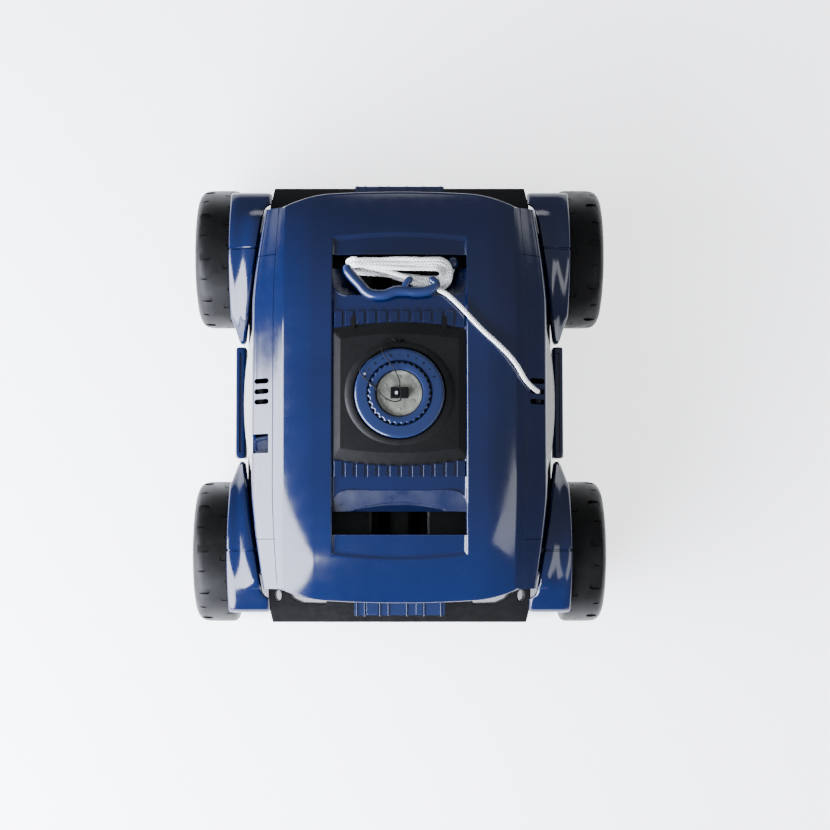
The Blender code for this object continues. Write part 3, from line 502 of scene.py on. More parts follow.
def make_floor():
    """A plain pale floor that glows softly where the object doesn't shade it."""
    m = Nodes("studio_floor")
    m.roughness(m.ramp(m.noise(0.8, 2), 0.66, 0.74))
    m.set(Emission_Color=(0.97, 0.98, 1.0, 1))
    point = m.split(m.coordinates())
    across = m.ramp(m.math("ABSOLUTE", point["X"]), 0.0, 1.0, *SHADE_REACH_X)
    along = m.ramp(m.math("ABSOLUTE", point["Y"]), 0.0, 1.0, *SHADE_REACH_Y)
    open_floor = m.math("MAXIMUM", across, along)
    m.join(m.ramp(open_floor, *FLOOR_GLOW), m.shader.inputs["Emission Strength"])
    m.colour(m.ramp(open_floor, SHADED_FLOOR, OPEN_FLOOR))
    corners = [(x * FLOOR_HALF, y * FLOOR_HALF, 0) for x, y in ((-1, -1), (1, -1), (1, 1), (-1, 1))]
    floor = mesh_piece("studio_floor", corners, [(0, 1, 2, 3)], m.material)


def make_light(name, location, target, size, power, colour):
    """A rectangular softbox that faces a point."""
    data = bpy.data.lights.new(name, "AREA")
    data.shape = "RECTANGLE"
    data.size, data.size_y = size
    data.energy = power
    data.color = colour
    light = link(name, data)
    light.location = location
    light.rotation_euler = (Vector(target) - Vector(location)).to_track_quat("-Z", "Y").to_euler()


def make_world():
    """Studio surroundings, brighter overhead than at the horizon."""
    world = bpy.data.worlds.new("studio")
    world.use_nodes = True
    tree = world.node_tree
    background = tree.nodes["Background"]
    direction = tree.nodes.new("ShaderNodeTexCoord").outputs["Generated"]
    split = tree.nodes.new("ShaderNodeSeparateXYZ")
    tree.links.new(direction, split.inputs[0])
    mapped = tree.nodes.new("ShaderNodeMapRange")
    mapped.inputs["To Min"].default_value = WORLD_STRENGTH[0]
    mapped.inputs["To Max"].default_value = WORLD_STRENGTH[1]
    tree.links.new(split.outputs["Z"], mapped.inputs["Value"])
    background.inputs["Color"].default_value = (0.9, 0.94, 1.0, 1)
    tree.links.new(mapped.outputs["Result"], background.inputs["Strength"])
    bpy.context.scene.world = world


make_camera()
make_floor()
make_world()
for light in LIGHTS:
    make_light(*light)


# ---- the shell's form

GAP = 0.0003
WALL = 0.003
SHELL_BOTTOM = 0.1045
CROWN_TOP = 0.209
CROWN_FLAT = 0.06
CROWN_FALL = 0.054
CROWN_POWER = 2.3
CROWN_HALF_LENGTH = 0.1985
CROWN_HALF_WIDTH = 0.109
CREASE_X = 0.079
FLANK_FOOT = 0.125
FLANK_BOW = 0.0115
FLANK_BOW_RANGE = (0.09, 0.184)
FRONT_SHORTER = 0.0042
END_DRAFT = 0.004
END_ROUNDING = 0.0016
CHANNEL_HALF_WIDTH = 0.0635
CHANNEL_HALF_LENGTH = 0.154
CHANNEL_DEPTH = 0.003
SIDE_SLOPE = 0.0034
END_SLOPE = 0.0052
GRIP_HALF_WIDTH = 0.063
GRIP_CORNER = 0.015
GRIP_WALL = 0.0012
LIP_RADIUS = 0.0006
REAR_WALL_DEPTH, REAR_WALL_TAIL = 0.019, 0.118
FRONT_WALL_DEPTH, FRONT_WALL_TAIL = 0.0135, -0.129
FRONT_LEAN = 0.0012
# Each grip opening's edge towards the middle of the unit, and its edge towards the end.
REAR_GRIP = (0.0913, 0.1316)
FRONT_GRIP = (-0.089, -0.1302)
SCOOP_FOOT_Y = -0.1085
SCOOP_DEPTH = 0.012
COVER_HALF_WIDTH = 0.0628
COVER_HALF_LENGTH = 0.066
DIAL_RADIUS = 0.0415
COLLAR_RADIUS = 0.0293
COLLAR_TEETH = 32
WINDOW_RADIUS = 0.0212
DIAL_FLOOR = 0.2085
STRIP_FAR = 0.0768
RIB_PITCH = 0.0103
VENT_WIDTH = 0.005
VENT_PITCH = 0.0097
VENT_Y = 0.0042
VENT_REACH = (0.1222, 0.1366)
SEAM_Y = 0.134
SEAM_WIDTH = 0.0006
LATCH_Y = -0.0448
LATCH_WIDTH = 0.018
LATCH_PIVOT = (-0.1205, LATCH_Y, 0.1725)
NOZZLE_HALF_WIDTH = 0.043
NOZZLE_TOP = 0.142
CENTRE_FALL = 0.0045
EDGE_FALL = 0.009
CORNER_START = 0.068
END_BOW = 0.0022
CORNER_CUT = 0.0092
FLANK_POWER = 1.3
CUT_LOW, CUT_HIGH = 0.15, 0.23

# Places across the crown from its middle: closer together at the channel's wall and the crease.
CROWN_COLUMNS = (
    *(0.0, 0.008, 0.016, 0.024, 0.032, 0.04, 0.048, 0.054, 0.058),
    *(0.06, 0.0605, 0.0612, 0.0621, 0.0629, 0.0634, 0.064),
    *(0.068, 0.073, 0.077, 0.0784, 0.0796, 0.081, 0.085, 0.09, 0.095, 0.1, 0.104, 0.107, 0.109),
)
CHANNEL_END_STEPS = (0.006, 0.0052, 0.0044, 0.0032, 0.002, 0.001, 0.0004, 0.0)
OUTER_SHARES = (0.04, 0.12, 0.25, 0.4, 0.55, 0.7, 0.8, 0.88, 0.94, 0.975, 1.0)
# Distance from the middle and height of the flank, and how far down the end face the same line runs.
FLANK_POINTS = (
    (0.109, 0.1955, 0.0), (0.113, 0.1925, 0.04), (0.1165, 0.1897, 0.08), (0.1215, 0.1856, 0.13),
    (0.128, 0.1802, 0.2), (0.1345, 0.1749, 0.28), (0.1382, 0.1712, 0.34), (0.1397, 0.164, 0.42),
    (0.1404, 0.151, 0.52), (0.1411, 0.139, 0.62), (0.1415, 0.128, 0.7),
)
FLANK_FOOT_POINTS = (
    (0.1418, 0.1266, 0.75), (0.1415, 0.125, 0.8), (0.1404, 0.1241, 0.85), (0.135, 0.1238, 0.9),
    (0.135, 0.1045, 1.0),
)
FLANK_GROOVE = ((0.1174, 0.0), (0.1178, 0.0005), (0.1182, 0.0005), (0.1186, 0.0))


def ease(t):
    """A smooth step from 0 to 1."""
    t = min(1.0, max(0.0, t))
    return t * t * (3 - 2 * t)


def crown_scale(y):
    """How high the shell still is above the foot of its flanks, as a share of its height in the middle."""
    reach = max(0.0, abs(y) - CROWN_FLAT) / (CROWN_HALF_LENGTH - CROWN_FLAT)
    return 1 - CROWN_FALL * min(1.0, reach) ** CROWN_POWER / (CROWN_TOP - FLANK_FOOT)


def crown_z(x, y):
    """Height of the crown: nearly flat between the creases, then falling to the edge."""
    x = abs(x)
    fall = CENTRE_FALL * (x / CREASE_X) ** 2
    if x > CREASE_X:
        fall = CENTRE_FALL + EDGE_FALL * ((x - CREASE_X) / (CROWN_HALF_WIDTH - CREASE_X)) ** 1.4
    return FLANK_FOOT + (CROWN_TOP - fall - FLANK_FOOT) * crown_scale(y)


def crown_end(x, end):
    """The crown's reach from its middle towards one end: a shallow arc with rounded corners."""
    x = abs(x)
    corner = max(0.0, (x - CORNER_START) / (CROWN_HALF_WIDTH - CORNER_START))
    shorter = FRONT_SHORTER * (1 - 0.7 * corner) if end < 0 else 0.0
    return CROWN_HALF_LENGTH - shorter - END_BOW * (x / CORNER_START) ** 2 - CORNER_CUT * corner**1.7


def channel_end(x):
    """The channel's reach from its middle: its ends are shallow arcs."""
    return CHANNEL_HALF_LENGTH - 0.0045 * (x / CHANNEL_HALF_WIDTH) ** 2


def cover_end(x):
    """The cover's reach from its middle."""
    return COVER_HALF_LENGTH - 0.006 * (x / COVER_HALF_WIDTH) ** 2


def channel_floor(x, y):
    """Height of the channel's floor."""
    return crown_z(x, y) - CHANNEL_DEPTH


def channel_share(x, y):
    """0 outside the channel, 1 on its floor, and its rounded slopes in between."""
    across = ease((CHANNEL_HALF_WIDTH - abs(x)) / SIDE_SLOPE)
    along = ease((channel_end(x) - abs(y)) / END_SLOPE)
    return min(across, along)


def flank_lines():
    """The lines along the flank from the crown's edge down, with the fine groove between two of them."""
    smooth = [tuple(v) for v in smooth_route(FLANK_POINTS, 0.003)]
    groove_low, groove_high = FLANK_GROOVE[0][0], FLANK_GROOVE[-1][0]
    above = [p for p in smooth if p[0] < groove_low - 0.0004]
    below = [p for p in smooth if p[0] > groove_high + 0.0004]
    (x0, z0, s0), (x1, z1, s1) = above[-1], below[0]
    lines = above[1:]
    for x, depth in FLANK_GROOVE:
        t = (x - x0) / (x1 - x0)
        lines.append((x - depth * 0.6, z0 + (z1 - z0) * t - depth * 0.8, s0 + (s1 - s0) * t))
    return lines + below + list(FLANK_FOOT_POINTS)


def flank_point(line, side, y, inset):
    """A point of the flank, which draws in and falls towards both ends of the shell."""
    x, z, _ = line
    start, stop = FLANK_BOW_RANGE
    near_end = (max(0.0, abs(y) - start) / (stop - start)) ** FLANK_POWER
    bow = FLANK_BOW * near_end * (x - CROWN_HALF_WIDTH) / 0.0325
    if z > FLANK_FOOT:
        z = FLANK_FOOT + (z - FLANK_FOOT) * crown_scale(y)
    if inset and x > 0.1405:
        z += inset
    return Vector((side * (x - bow - inset), y, z))


def end_point(line, x, end, top, inset):
    """A point of the end face, which leans out a little below its rounded top edge."""
    share = line[2]
    rounding = max(0.0, 1 - share / 0.04)
    back = END_ROUNDING * (1 - math.sqrt(max(0.0, 1 - rounding * rounding)))
    y = end * (crown_end(x, end) - END_DRAFT * share - back - inset)
    return Vector((x * (1 - inset / CROWN_HALF_WIDTH), y, top - (top - SHELL_BOTTOM) * share))


def crown_row(x):
    """The rows' places along the crown: each follows the channel's curved ends or the crown's own."""
    edge = channel_end(x)
    inner = edge - CHANNEL_END_STEPS[0]
    halves = []
    for side in (-1, 1):
        reach = crown_end(x, side) - END_ROUNDING
        ys = [inner * i / 16 for i in range(16)]
        ys += [edge - step for step in CHANNEL_END_STEPS]
        ys += [edge + share * (reach - edge) for share in OUTER_SHARES]
        halves.append([side * y for y in ys])
    return halves[0][:0:-1] + halves[1]


def shell_surface(bm, lines, inset):
    """The outside (inset 0) or the inside of the shell. Returns the ring along its bottom edge."""
    xs = [-x for x in CROWN_COLUMNS[:0:-1]] + list(CROWN_COLUMNS)
    squeeze = 1 - inset / CROWN_HALF_WIDTH
    grid = []
    for x in xs:
        line = []
        for y in crown_row(x):
            drop = CHANNEL_DEPTH * channel_share(x, y)
            if inset:
                drop = inset + CHANNEL_DEPTH * (abs(x) < 0.07 and abs(y) < 0.165)
            shorter = 1 - inset / CROWN_HALF_LENGTH
            line.append(bm.verts.new((x * squeeze, y * shorter, crown_z(x, y) - drop)))
        grid.append(line)
    last, rows = len(xs) - 1, len(grid[0]) - 1
    for i in range(last):
        for j in range(rows):
            bm.faces.new((grid[i][j], grid[i + 1][j], grid[i + 1][j + 1], grid[i][j + 1]))
    rim = [(last, j) for j in range(rows)] + [(i, rows) for i in range(last, 0, -1)]
    rim += [(0, j) for j in range(rows, 0, -1)] + [(i, 0) for i in range(last)]
    above = [grid[i][j] for i, j in rim]
    for line in lines:
        ring = []
        for i, j in rim:
            start = grid[i][j].co
            if i in (0, last):
                spot = flank_point(line, 1 if i else -1, start.y, inset)
            else:
                spot = end_point(line, xs[i], 1 if j else -1, start.z, inset)
            ring.append(bm.verts.new(spot))
        for k in range(len(rim)):
            m = (k + 1) % len(rim)
            bm.faces.new((above[k], above[m], ring[m], ring[k]))
        above = ring
    return above


def grip_outline(near, far):
    """A grip opening: square against the ends of the unit, with rounded corners towards its middle."""
    sign = 1 if far > near else -1
    centre_x, centre_y = GRIP_HALF_WIDTH - GRIP_CORNER, near + sign * GRIP_CORNER
    right = arc((centre_x, centre_y), GRIP_CORNER, 0, -90 * sign, 12)
    left = [(-x, y) for x, y in right[::-1]]
    return [(GRIP_HALF_WIDTH, far), *right, *left, (-GRIP_HALF_WIDTH, far)]


def slot_outline(centre_y, width, low, high):
    """An upright slot with a round foot, as (y, z) points."""
    radius = width / 2
    bottom = arc((centre_y, low + radius), radius, 180, 360, 10)
    return [*bottom, (centre_y + radius, high), (centre_y - radius, high)]


def shell_cutters():
    """The grips, the port, the vents, the flank seams, the latch's slot and the nozzles' openings."""
    cutters = [
        prism_piece("cut_rear", grip_outline(*REAR_GRIP), CUT_LOW, CUT_HIGH, BLUE),
        prism_piece("cut_front", grip_outline(*FRONT_GRIP), CUT_LOW, CUT_HIGH, BLUE),
        prism_piece("cut_port", arc((0, 0), DIAL_RADIUS + 0.0015, 0, 357, 119), CUT_LOW, CUT_HIGH, BLUE),
    ]
    for side_name, side in SIDES:
        low, high = sorted((side * 0.116, side * 0.15))
        radius = VENT_WIDTH / 2
        for i in (-1, 0, 1):
            y = VENT_Y + i * VENT_PITCH
            outline = arc((VENT_REACH[1] - radius, y), radius, -90, 90, 10)
            outline += arc((VENT_REACH[0] + radius, y), radius, 90, 270, 10)
            outline = [(side * x, y) for x, y in outline]
            cutters.append(prism_piece(f"cut_vent_{side_name}_{i}", outline, 0.155, 0.195, BLUE))
        for y in (-SEAM_Y, SEAM_Y):
            low_corner, high_corner = (low, y - SEAM_WIDTH / 2, 0.12), (high, y + SEAM_WIDTH / 2, 0.19)
            cutters.append(box_piece("cut_seam", low_corner, high_corner, BLUE))
    latch_slot = slot_outline(LATCH_Y, LATCH_WIDTH, 0.127, 0.185)
    cutters.append(prism_piece("cut_latch", latch_slot, -0.15, -0.112, BLUE, "X"))
    for end_name, end in ENDS:
        low_y, high_y = sorted((end * 0.17, end * 0.215))
        low = (-NOZZLE_HALF_WIDTH - 0.0004, low_y, 0.09)
        high = (NOZZLE_HALF_WIDTH + 0.0004, high_y, NOZZLE_TOP + 0.0004)
        cutters.append(box_piece(f"cut_nozzle_{end_name}", low, high, BLUE))
    return cutters


def make_shell():
    """The shell's outside and inside, joined along their bottom edges, with its openings cut."""
    bm = bmesh.new()
    lines = flank_lines()
    outer = shell_surface(bm, lines, 0.0)
    inner = shell_surface(bm, lines, WALL)
    for k in range(len(outer)):
        m = (k + 1) % len(outer)
        bm.faces.new((outer[k], outer[m], inner[m], inner[k]))
    bmesh.ops.recalc_face_normals(bm, faces=bm.faces)
    mesh = bpy.data.meshes.new("shell_body")
    bm.to_mesh(mesh)
    bm.free()
    shell = link("shell_body", mesh, BLUE)
    carve(shell, shell_cutters())
    settle(shell, "power_unit", "shell_blue", "top_shell")


def rear_lean(x):
    """How far the rear grip's wall leans in at its foot: more towards its corners."""
    return 0.0072 + 0.0095 * ease((abs(x) - 0.04) / 0.012)


def grip_wall(end_name, near, far, depth, lean_of, tail):
    """The wall that hangs from a grip opening's rim, round its corners and along the middle edge."""
    sign = 1 if far > near else -1
    centre_x, centre_y = GRIP_HALF_WIDTH - GRIP_CORNER, near + sign * GRIP_CORNER
    path = [((GRIP_HALF_WIDTH, y), (-1, 0)) for y in (tail, (tail + centre_y) / 2)]
    for x, y in arc((centre_x, centre_y), GRIP_CORNER, 0, -90 * sign, 12):
        path.append(((x, y), ((centre_x - x) / GRIP_CORNER, (centre_y - y) / GRIP_CORNER)))
    for i in range(1, 12):
        path.append(((centre_x * (1 - i / 12), near), (0, sign)))
    path += [((-x, y), (-a, b)) for (x, y), (a, b) in path[::-1]]
    shares = (-0.1, 0.02, 0.06, 0.12, 0.35, 0.65, 1.0)
    drops = (-0.0006, -0.0004, -0.001, -0.0022, -0.35 * depth, -0.65 * depth, -depth)
    rings = []
    for (x, y), (a, b) in path:
        in_x, in_y = a * lean_of(x), b * lean_of(x)
        floor = channel_floor(x, y)
        ring = [Vector((x + in_x * t, y + in_y * t, floor + drop)) for t, drop in zip(shares, drops)]
        back = [v - Vector((in_x, in_y, 0)).normalized() * GRIP_WALL for v in ring[::-1]]
        rings.append(ring + back)
    # The wall's darker blue is painted shade.
    wall = loft_piece(f"grip_wall_{end_name}", rings, SHADED_RECESS_BLUE, angle=40)
    settle(wall, "power_unit", "shell_blue")


def grip_lip(end_name, near, far):
    """A fine rounded bead along the whole rim of a grip opening."""
    outline = grip_outline(near, far)
    points = []
    for (x0, y0), (x1, y1) in zip(outline, outline[1:] + outline[:1]):
        steps = max(1, round(math.hypot(x1 - x0, y1 - y0) / 0.004))
        for i in range(steps):
            x, y = x0 + (x1 - x0) * i / steps, y0 + (y1 - y0) * i / steps
            points.append(Vector((x, y, channel_floor(x, y) - 0.0004)))
    middle = Vector((0, (near + far) / 2, points[0].z))
    rings = []
    for i, point in enumerate(points):
        ahead = (points[(i + 1) % len(points)] - points[i - 1]).normalized()
        out = ahead.cross(Vector((0, 0, 1))).normalized()
        if out.dot(middle - point) > 0:
            out = -out
        ring = []
        for s in range(8):
            turn = 2 * math.pi * s / 8
            ring.append(point + (out * math.cos(turn) + Vector((0, 0, math.sin(turn)))) * LIP_RADIUS)
        rings.append(ring)
    lip = loft_piece(f"grip_lip_{end_name}", rings, BLUE, loop=True, angle=60)
    settle(lip, "power_unit", "shell_blue")


def make_scoop():
    """The finger scoop that slopes into the front grip opening, with a crescent sunk in its foot."""
    top_y = FRONT_GRIP[0]
    run = top_y - SCOOP_FOOT_Y
    columns = [i / 30 for i in range(-30, 31)]
    shares = [i / 14 for i in range(15)]
    surface = []
    for u in columns:
        line = []
        crescent = 0.0088 * max(0.03, 1 - (u * GRIP_HALF_WIDTH / 0.046) ** 2)
        for share in shares:
            line.append((share * (run - crescent), 0.0))
        for share in (0.06, 0.35, 0.7, 1.0):
            line.append((run - crescent * (1 - share), 0.0022 * min(1.0, crescent / 0.002)))
        column = []
        for down, extra in line:
            corner = max(0.0, GRIP_CORNER - down)
            half = GRIP_HALF_WIDTH - GRIP_CORNER + math.sqrt(GRIP_CORNER**2 - corner**2)
            x, y = u * half, top_y - down
            z = channel_floor(0, top_y) - 0.0004 - SCOOP_DEPTH * (down / run) ** 1.1 - extra
            column.append(Vector((x, y, z)))
        surface.append(column)
    rings = []
    for column in surface:
        rings.append(column + [v - Vector((0, 0, 0.0018)) for v in column[::-1]])
    # The scoop's darker blue is painted shade.
    settle(loft_piece("finger_scoop", rings, SHADED_RECESS_BLUE, angle=40), "power_unit", "shell_blue")
    # The crescent sunk in the scoop's foot takes a near-black blue: painted shade.
    rings = []
    for column in surface[5:-5]:
        foot = [v + Vector((0, 0, 0.0003)) for v in column[-3:]]
        rings.append(foot + [v - Vector((0, 0, 0.0006)) for v in foot[::-1]])
    settle(loft_piece("scoop_crescent", rings, HOLLOW_SHADE_BLUE, angle=40), "power_unit", "shell_blue")


def make_ribs():
    """The two strips of blocks between the cover and the grip openings."""
    blocks = []
    for end_name, end in ENDS:
        for i in range(12):
            x = (i - 5.5) * RIB_PITCH
            low_x, high_x = x - 0.0037, x + 0.0037
            near = cover_end(x) + 0.0008
            verts = []
            for bx, rise in ((low_x, 0.0027), (high_x, 0.0015)):
                for by in (near, STRIP_FAR):
                    floor = channel_floor(bx, by)
                    verts += [(bx, end * by, floor - 0.0005), (bx, end * by, floor + rise)]
            faces = [(0, 1, 3, 2), (4, 6, 7, 5), (0, 4, 5, 1), (2, 3, 7, 6), (1, 5, 7, 3), (0, 2, 6, 4)]
            block = mesh_piece(f"rib_{end_name}_{i}", verts, faces, BLUE)
            soften(block, 0.0005, 2)
            blocks.append(block)
    settle(joined("ribbed_strips", blocks), "power_unit", "shell_blue")
    slots = []
    for side_name, x in (("left", -0.043), ("right", 0.0415)):
        outline = [
            (x - 0.002, 0.06), (x + 0.002, 0.06), (x + 0.002, 0.069),
            *arc((x, 0.07), 0.0017, -20, 200, 10),
            (x - 0.002, 0.069),
        ]
        top = channel_floor(x, 0.067) + 0.0028
        slots.append(prism_piece(f"slot_{side_name}", outline, top - 0.002, top, RUBBER))
    settle(joined("key_slots", slots), "power_unit", "rubber_black")


def cover_steps(inner, bevel):
    """Places from edge to edge of the cover: even on the plateau, closer on the bevels."""
    half = [inner * i / 12 for i in range(13)] + [inner + bevel * i / 4 for i in (0.2, 1, 2, 3, 3.8, 4)]
    return [-a for a in half[:0:-1]] + half


def make_cover():
    """The square cover in the channel: a bevelled plateau with a raised dish round the dial."""
    bevel_side, bevel_end, drop = 0.0082, 0.011, 0.0034
    inner_x = COVER_HALF_WIDTH - bevel_side
    top = []
    for x in cover_steps(inner_x, bevel_side):
        line = []
        inner = cover_end(x) - bevel_end
        for y in cover_steps(inner, bevel_end):
            fall_x = (abs(x) - inner_x) / bevel_side
            fall_y = (abs(y) - inner) / bevel_end
            fall = max(0.0, fall_x, fall_y)
            line.append(Vector((x, y, crown_z(x, y) + 0.001 - drop * fall)))
        top.append(line)
    rings = [line + [Vector((v.x, v.y, 0.202)) for v in line[::-1]] for line in top]
    cover = loft_piece("cover_plate", rings, SATIN, angle=12)
    port = arc((0, 0), DIAL_RADIUS + 0.0014, 0, 357, 119)
    cutters = [prism_piece("cut_dial", port, 0.19, CUT_HIGH, SATIN)]
    for side_name, side in SIDES:
        hole = arc((side * 0.003, 0.0476), 0.0023, 0, 337.5, 15)
        cutters.append(prism_piece(f"cut_hole_{side_name}", hole, 0.19, CUT_HIGH, SATIN))
    carve(cover, cutters)
    cover.data.set_sharp_from_angle(angle=math.radians(12))
    settle(cover, "power_unit", "cover_grey", "centre_cover")
    dish = [
        (DIAL_RADIUS + 0.0008, 0.2066), (DIAL_RADIUS + 0.0008, 0.21),
        (DIAL_RADIUS + 0.0014, 0.2107), (DIAL_RADIUS + 0.0024, 0.2109),
        (0.0455, 0.2107), (0.0475, 0.2102), (0.0492, 0.2094), (0.0506, 0.2083), (0.0506, 0.2066),
    ]
    settle(turned_piece("cover_dish", dish, SATIN, steps=128), "power_unit", "cover_grey")


def make_dial():
    """The dial with its rounded rim, an arc of ticks and a pale dot."""
    low, top, inner = DIAL_FLOOR + GAP, 0.214, COLLAR_RADIUS + 0.0007
    profile = [
        (inner, low), (inner, top - 0.0006), (inner + 0.0006, top), (DIAL_RADIUS - 0.0034, top),
        (DIAL_RADIUS - 0.0016, top - 0.0003), (DIAL_RADIUS - 0.0005, top - 0.001),
        (DIAL_RADIUS, top - 0.0022), (DIAL_RADIUS, low),
    ]
    settle(turned_piece("dial_body", profile, TRIM, steps=128), "dial", "trim_blue", "dial_ring")
    ticks = []
    for i in range(11):
        angle = math.radians(90 + (i - 5) * 13)
        out = Vector((math.cos(angle), math.sin(angle)))
        across = Vector((-math.sin(angle), math.cos(angle)))
        length, width = (0.0016, 0.0005) if i % 2 else (0.0022, 0.0007)
        corners = [(-length / 2, -width), (length / 2, -width), (length / 2, width), (-length / 2, width)]
        outline = [out * (0.0352 + a) + across * b for a, b in corners]
        ticks.append(prism_piece(f"tick_{i}", outline, top - 0.0004, top + 0.00006, RUBBER))
    settle(joined("dial_ticks", ticks), "dial", "rubber_black")
    dot = arc((-0.0319, 0.0175), 0.001, 0, 337.5, 15)
    settle(prism_piece("dial_dot", dot, top - 0.0005, top + 0.0001, MARK), "dial", "panel_grey")


def make_collar():
    """A ring with rounded teeth round its shoulder."""
    # How far in from the outside, the height and how deep the teeth are, from the foot to the top.
    levels = (
        (0.0, DIAL_FLOOR + GAP, 1.0),
        (0.0, 0.214, 1.0), (0.0002, 0.2148, 1.0), (0.0009, 0.2155, 0.9), (0.002, 0.2158, 0.3),
        (0.003, 0.2158, 0.0),
    )
    bore = ((0.0236, 0.2158), (0.0226, 0.2155), (0.0219, 0.2146), (0.0217, 0.2138), (0.0217, 0.2088))
    count = COLLAR_TEETH * 8
    angles = [2 * math.pi * i / count for i in range(count)]
    rings = []
    for inset, z, tooth in levels:
        ring = []
        for angle in angles:
            notch = 0.0013 * tooth * ease(1.6 * abs(math.cos(angle * COLLAR_TEETH / 2)) - 0.5)
            radius = COLLAR_RADIUS - inset - notch
            ring.append((radius * math.cos(angle), radius * math.sin(angle), z))
        rings.append(ring)
    for radius, z in bore:
        rings.append([(radius * math.cos(angle), radius * math.sin(angle), z) for angle in angles])
    settle(loft_piece("collar_body", rings, TRIM, loop=True, angle=30), "collar", "trim_blue", "lock_collar")


def make_window():
    """The cloudy disc under the collar, with the plug's hole and six studs."""
    profile = [(0, 0.2046), (WINDOW_RADIUS, 0.2046), (WINDOW_RADIUS, 0.2112)]
    profile += [(0.0207, 0.2118), (0.0188, 0.2118), (0.0184, 0.2114), (0, 0.2114)]
    window = turned_piece("window_disc", profile, WINDOW)
    carve(window, [box_piece("cut_plug", (-0.0066, -0.0036, 0.19), (0.0066, 0.0036, 0.23), WINDOW)])
    settle(window, "power_unit", "window_clear", "port_window")
    studs = []
    for i in range(6):
        angle = math.radians(30 + 60 * i)
        centre = (0.015 * math.cos(angle), 0.015 * math.sin(angle), 0)
        stud = [(0, 0.2105), (0.0019, 0.2105), (0.0017, 0.2117), (0.0012, 0.2119), (0, 0.2119)]
        studs.append(turned_piece(f"stud_{i}", stud, WINDOW, "Z", centre, 20))
    settle(joined("window_studs", studs), "power_unit", "window_clear")


def make_plug():
    """The port's plug: two blocks on a web, with its stem through the window."""
    halves = [
        box_piece("plug_left", (-0.0083, -0.0051, 0.2121), (-0.0004, 0.0051, 0.217), RUBBER, 0.0006),
        box_piece("plug_right", (0.0004, -0.0051, 0.2121), (0.0083, 0.0051, 0.2172), RUBBER, 0.0006),
        box_piece("plug_web", (-0.0014, -0.0044, 0.2121), (0.0014, 0.0044, 0.2162), RUBBER),
        box_piece("plug_stem", (-0.0062, -0.0032, 0.199), (0.0062, 0.0032, 0.2125), RUBBER),
        box_piece("plug_rib_left", (-0.0068, -0.0036, 0.2165), (-0.006, 0.0036, 0.2173), RUBBER),
        box_piece("plug_rib_right", (0.0056, -0.0036, 0.2167), (0.0064, 0.0036, 0.2174), RUBBER),
    ]
    settle(joined("plug_body", halves), "plug", "rubber_black", "port_plug")
    mark = box_piece("plug_mark", (-0.004, -0.0014, 0.2166), (-0.0016, 0.0014, 0.2172), MARK, 0.0002)
    settle(mark, "plug", "panel_grey")


def make_latch():
    """The pull in the left flank: a leaning face with rolled edges on its barrel."""
    px, py, pz = LATCH_PIVOT
    half = LATCH_WIDTH / 2 - 0.0005
    rings = []
    for depth, shrink in ((0.0032, 0.0), (0.0006, 0.0), (0.0, 0.0007), (0.0, 0.003), (0.0016, 0.0042)):
        ring = []
        for y, z in slot_outline(py, (half - shrink) * 2, 0.128 + shrink, 0.1715 - shrink):
            lean = (0.18 - z) * 0.4
            ring.append((-0.1195 - lean + depth, y, z))
        rings.append(ring)
    # The latch's dark blue is painted shade.
    lever = loft_piece("latch_face", rings, LATCH_SHADE_BLUE)
    circle = arc((px, pz), 0.0034, 0, 345, 23)
    barrel = prism_piece("latch_barrel", circle, py - half, py + half, LATCH_SHADE_BLUE, "Y")
    settle(joined("latch_body", [lever, barrel]), "latch", "trim_blue", "latch_lever")


# ---- wheels, fenders and bars

WHEEL_RADIUS = 0.069
WHEEL_Y = 0.146
TYRE_INNER_X = 0.158
TYRE_OUTER_X = 0.1995
WHEEL_X = (TYRE_INNER_X + TYRE_OUTER_X) / 2
TYRE_HALF = (TYRE_OUTER_X - TYRE_INNER_X) / 2
RIM_RADIUS = 0.0497
AXLE_RADIUS = 0.006
TREAD_PITCHES = 20
# Reach and half width of a slot, reach and width of the hook beside it.
TREAD_SLOTS = ((0.0175, 0.0033, 0.0095, 0.002), (0.0125, 0.001, 0.0135, 0.0034))
SPOKES = 10
FENDER_START, FENDER_SEAM, FENDER_STEP, FENDER_STOP = 0.058, 0.1445, 0.186, 0.2043
# How far the tread's pattern is turned on each wheel, in degrees from the top towards the rear.
TREAD_TURN = {"front_left": 2.2, "rear_left": -6.6, "front_right": 7.0, "rear_right": 5.0}


def tyre_profile():
    """(radius, place across the tread) from the inner bead round to the outer one."""
    half = TYRE_HALF
    return [
        (RIM_RADIUS + GAP, -half + 0.0012), (0.056, -half + 0.0002), (0.062, -half),
        (0.066, -half + 0.0007), (0.068, -half + 0.0024), (0.0688, -half + 0.005),
        (WHEEL_RADIUS, -half + 0.009), (WHEEL_RADIUS, 0.002), (0.0688, half - 0.012),
        (0.068, half - 0.0078), (0.0665, half - 0.005), (0.064, half - 0.0028),
        (0.0605, half - 0.0012), (0.056, half - 0.0004), (0.0522, half), (0.0508, half - 0.0006),
        (RIM_RADIUS + GAP, half - 0.002),
    ]


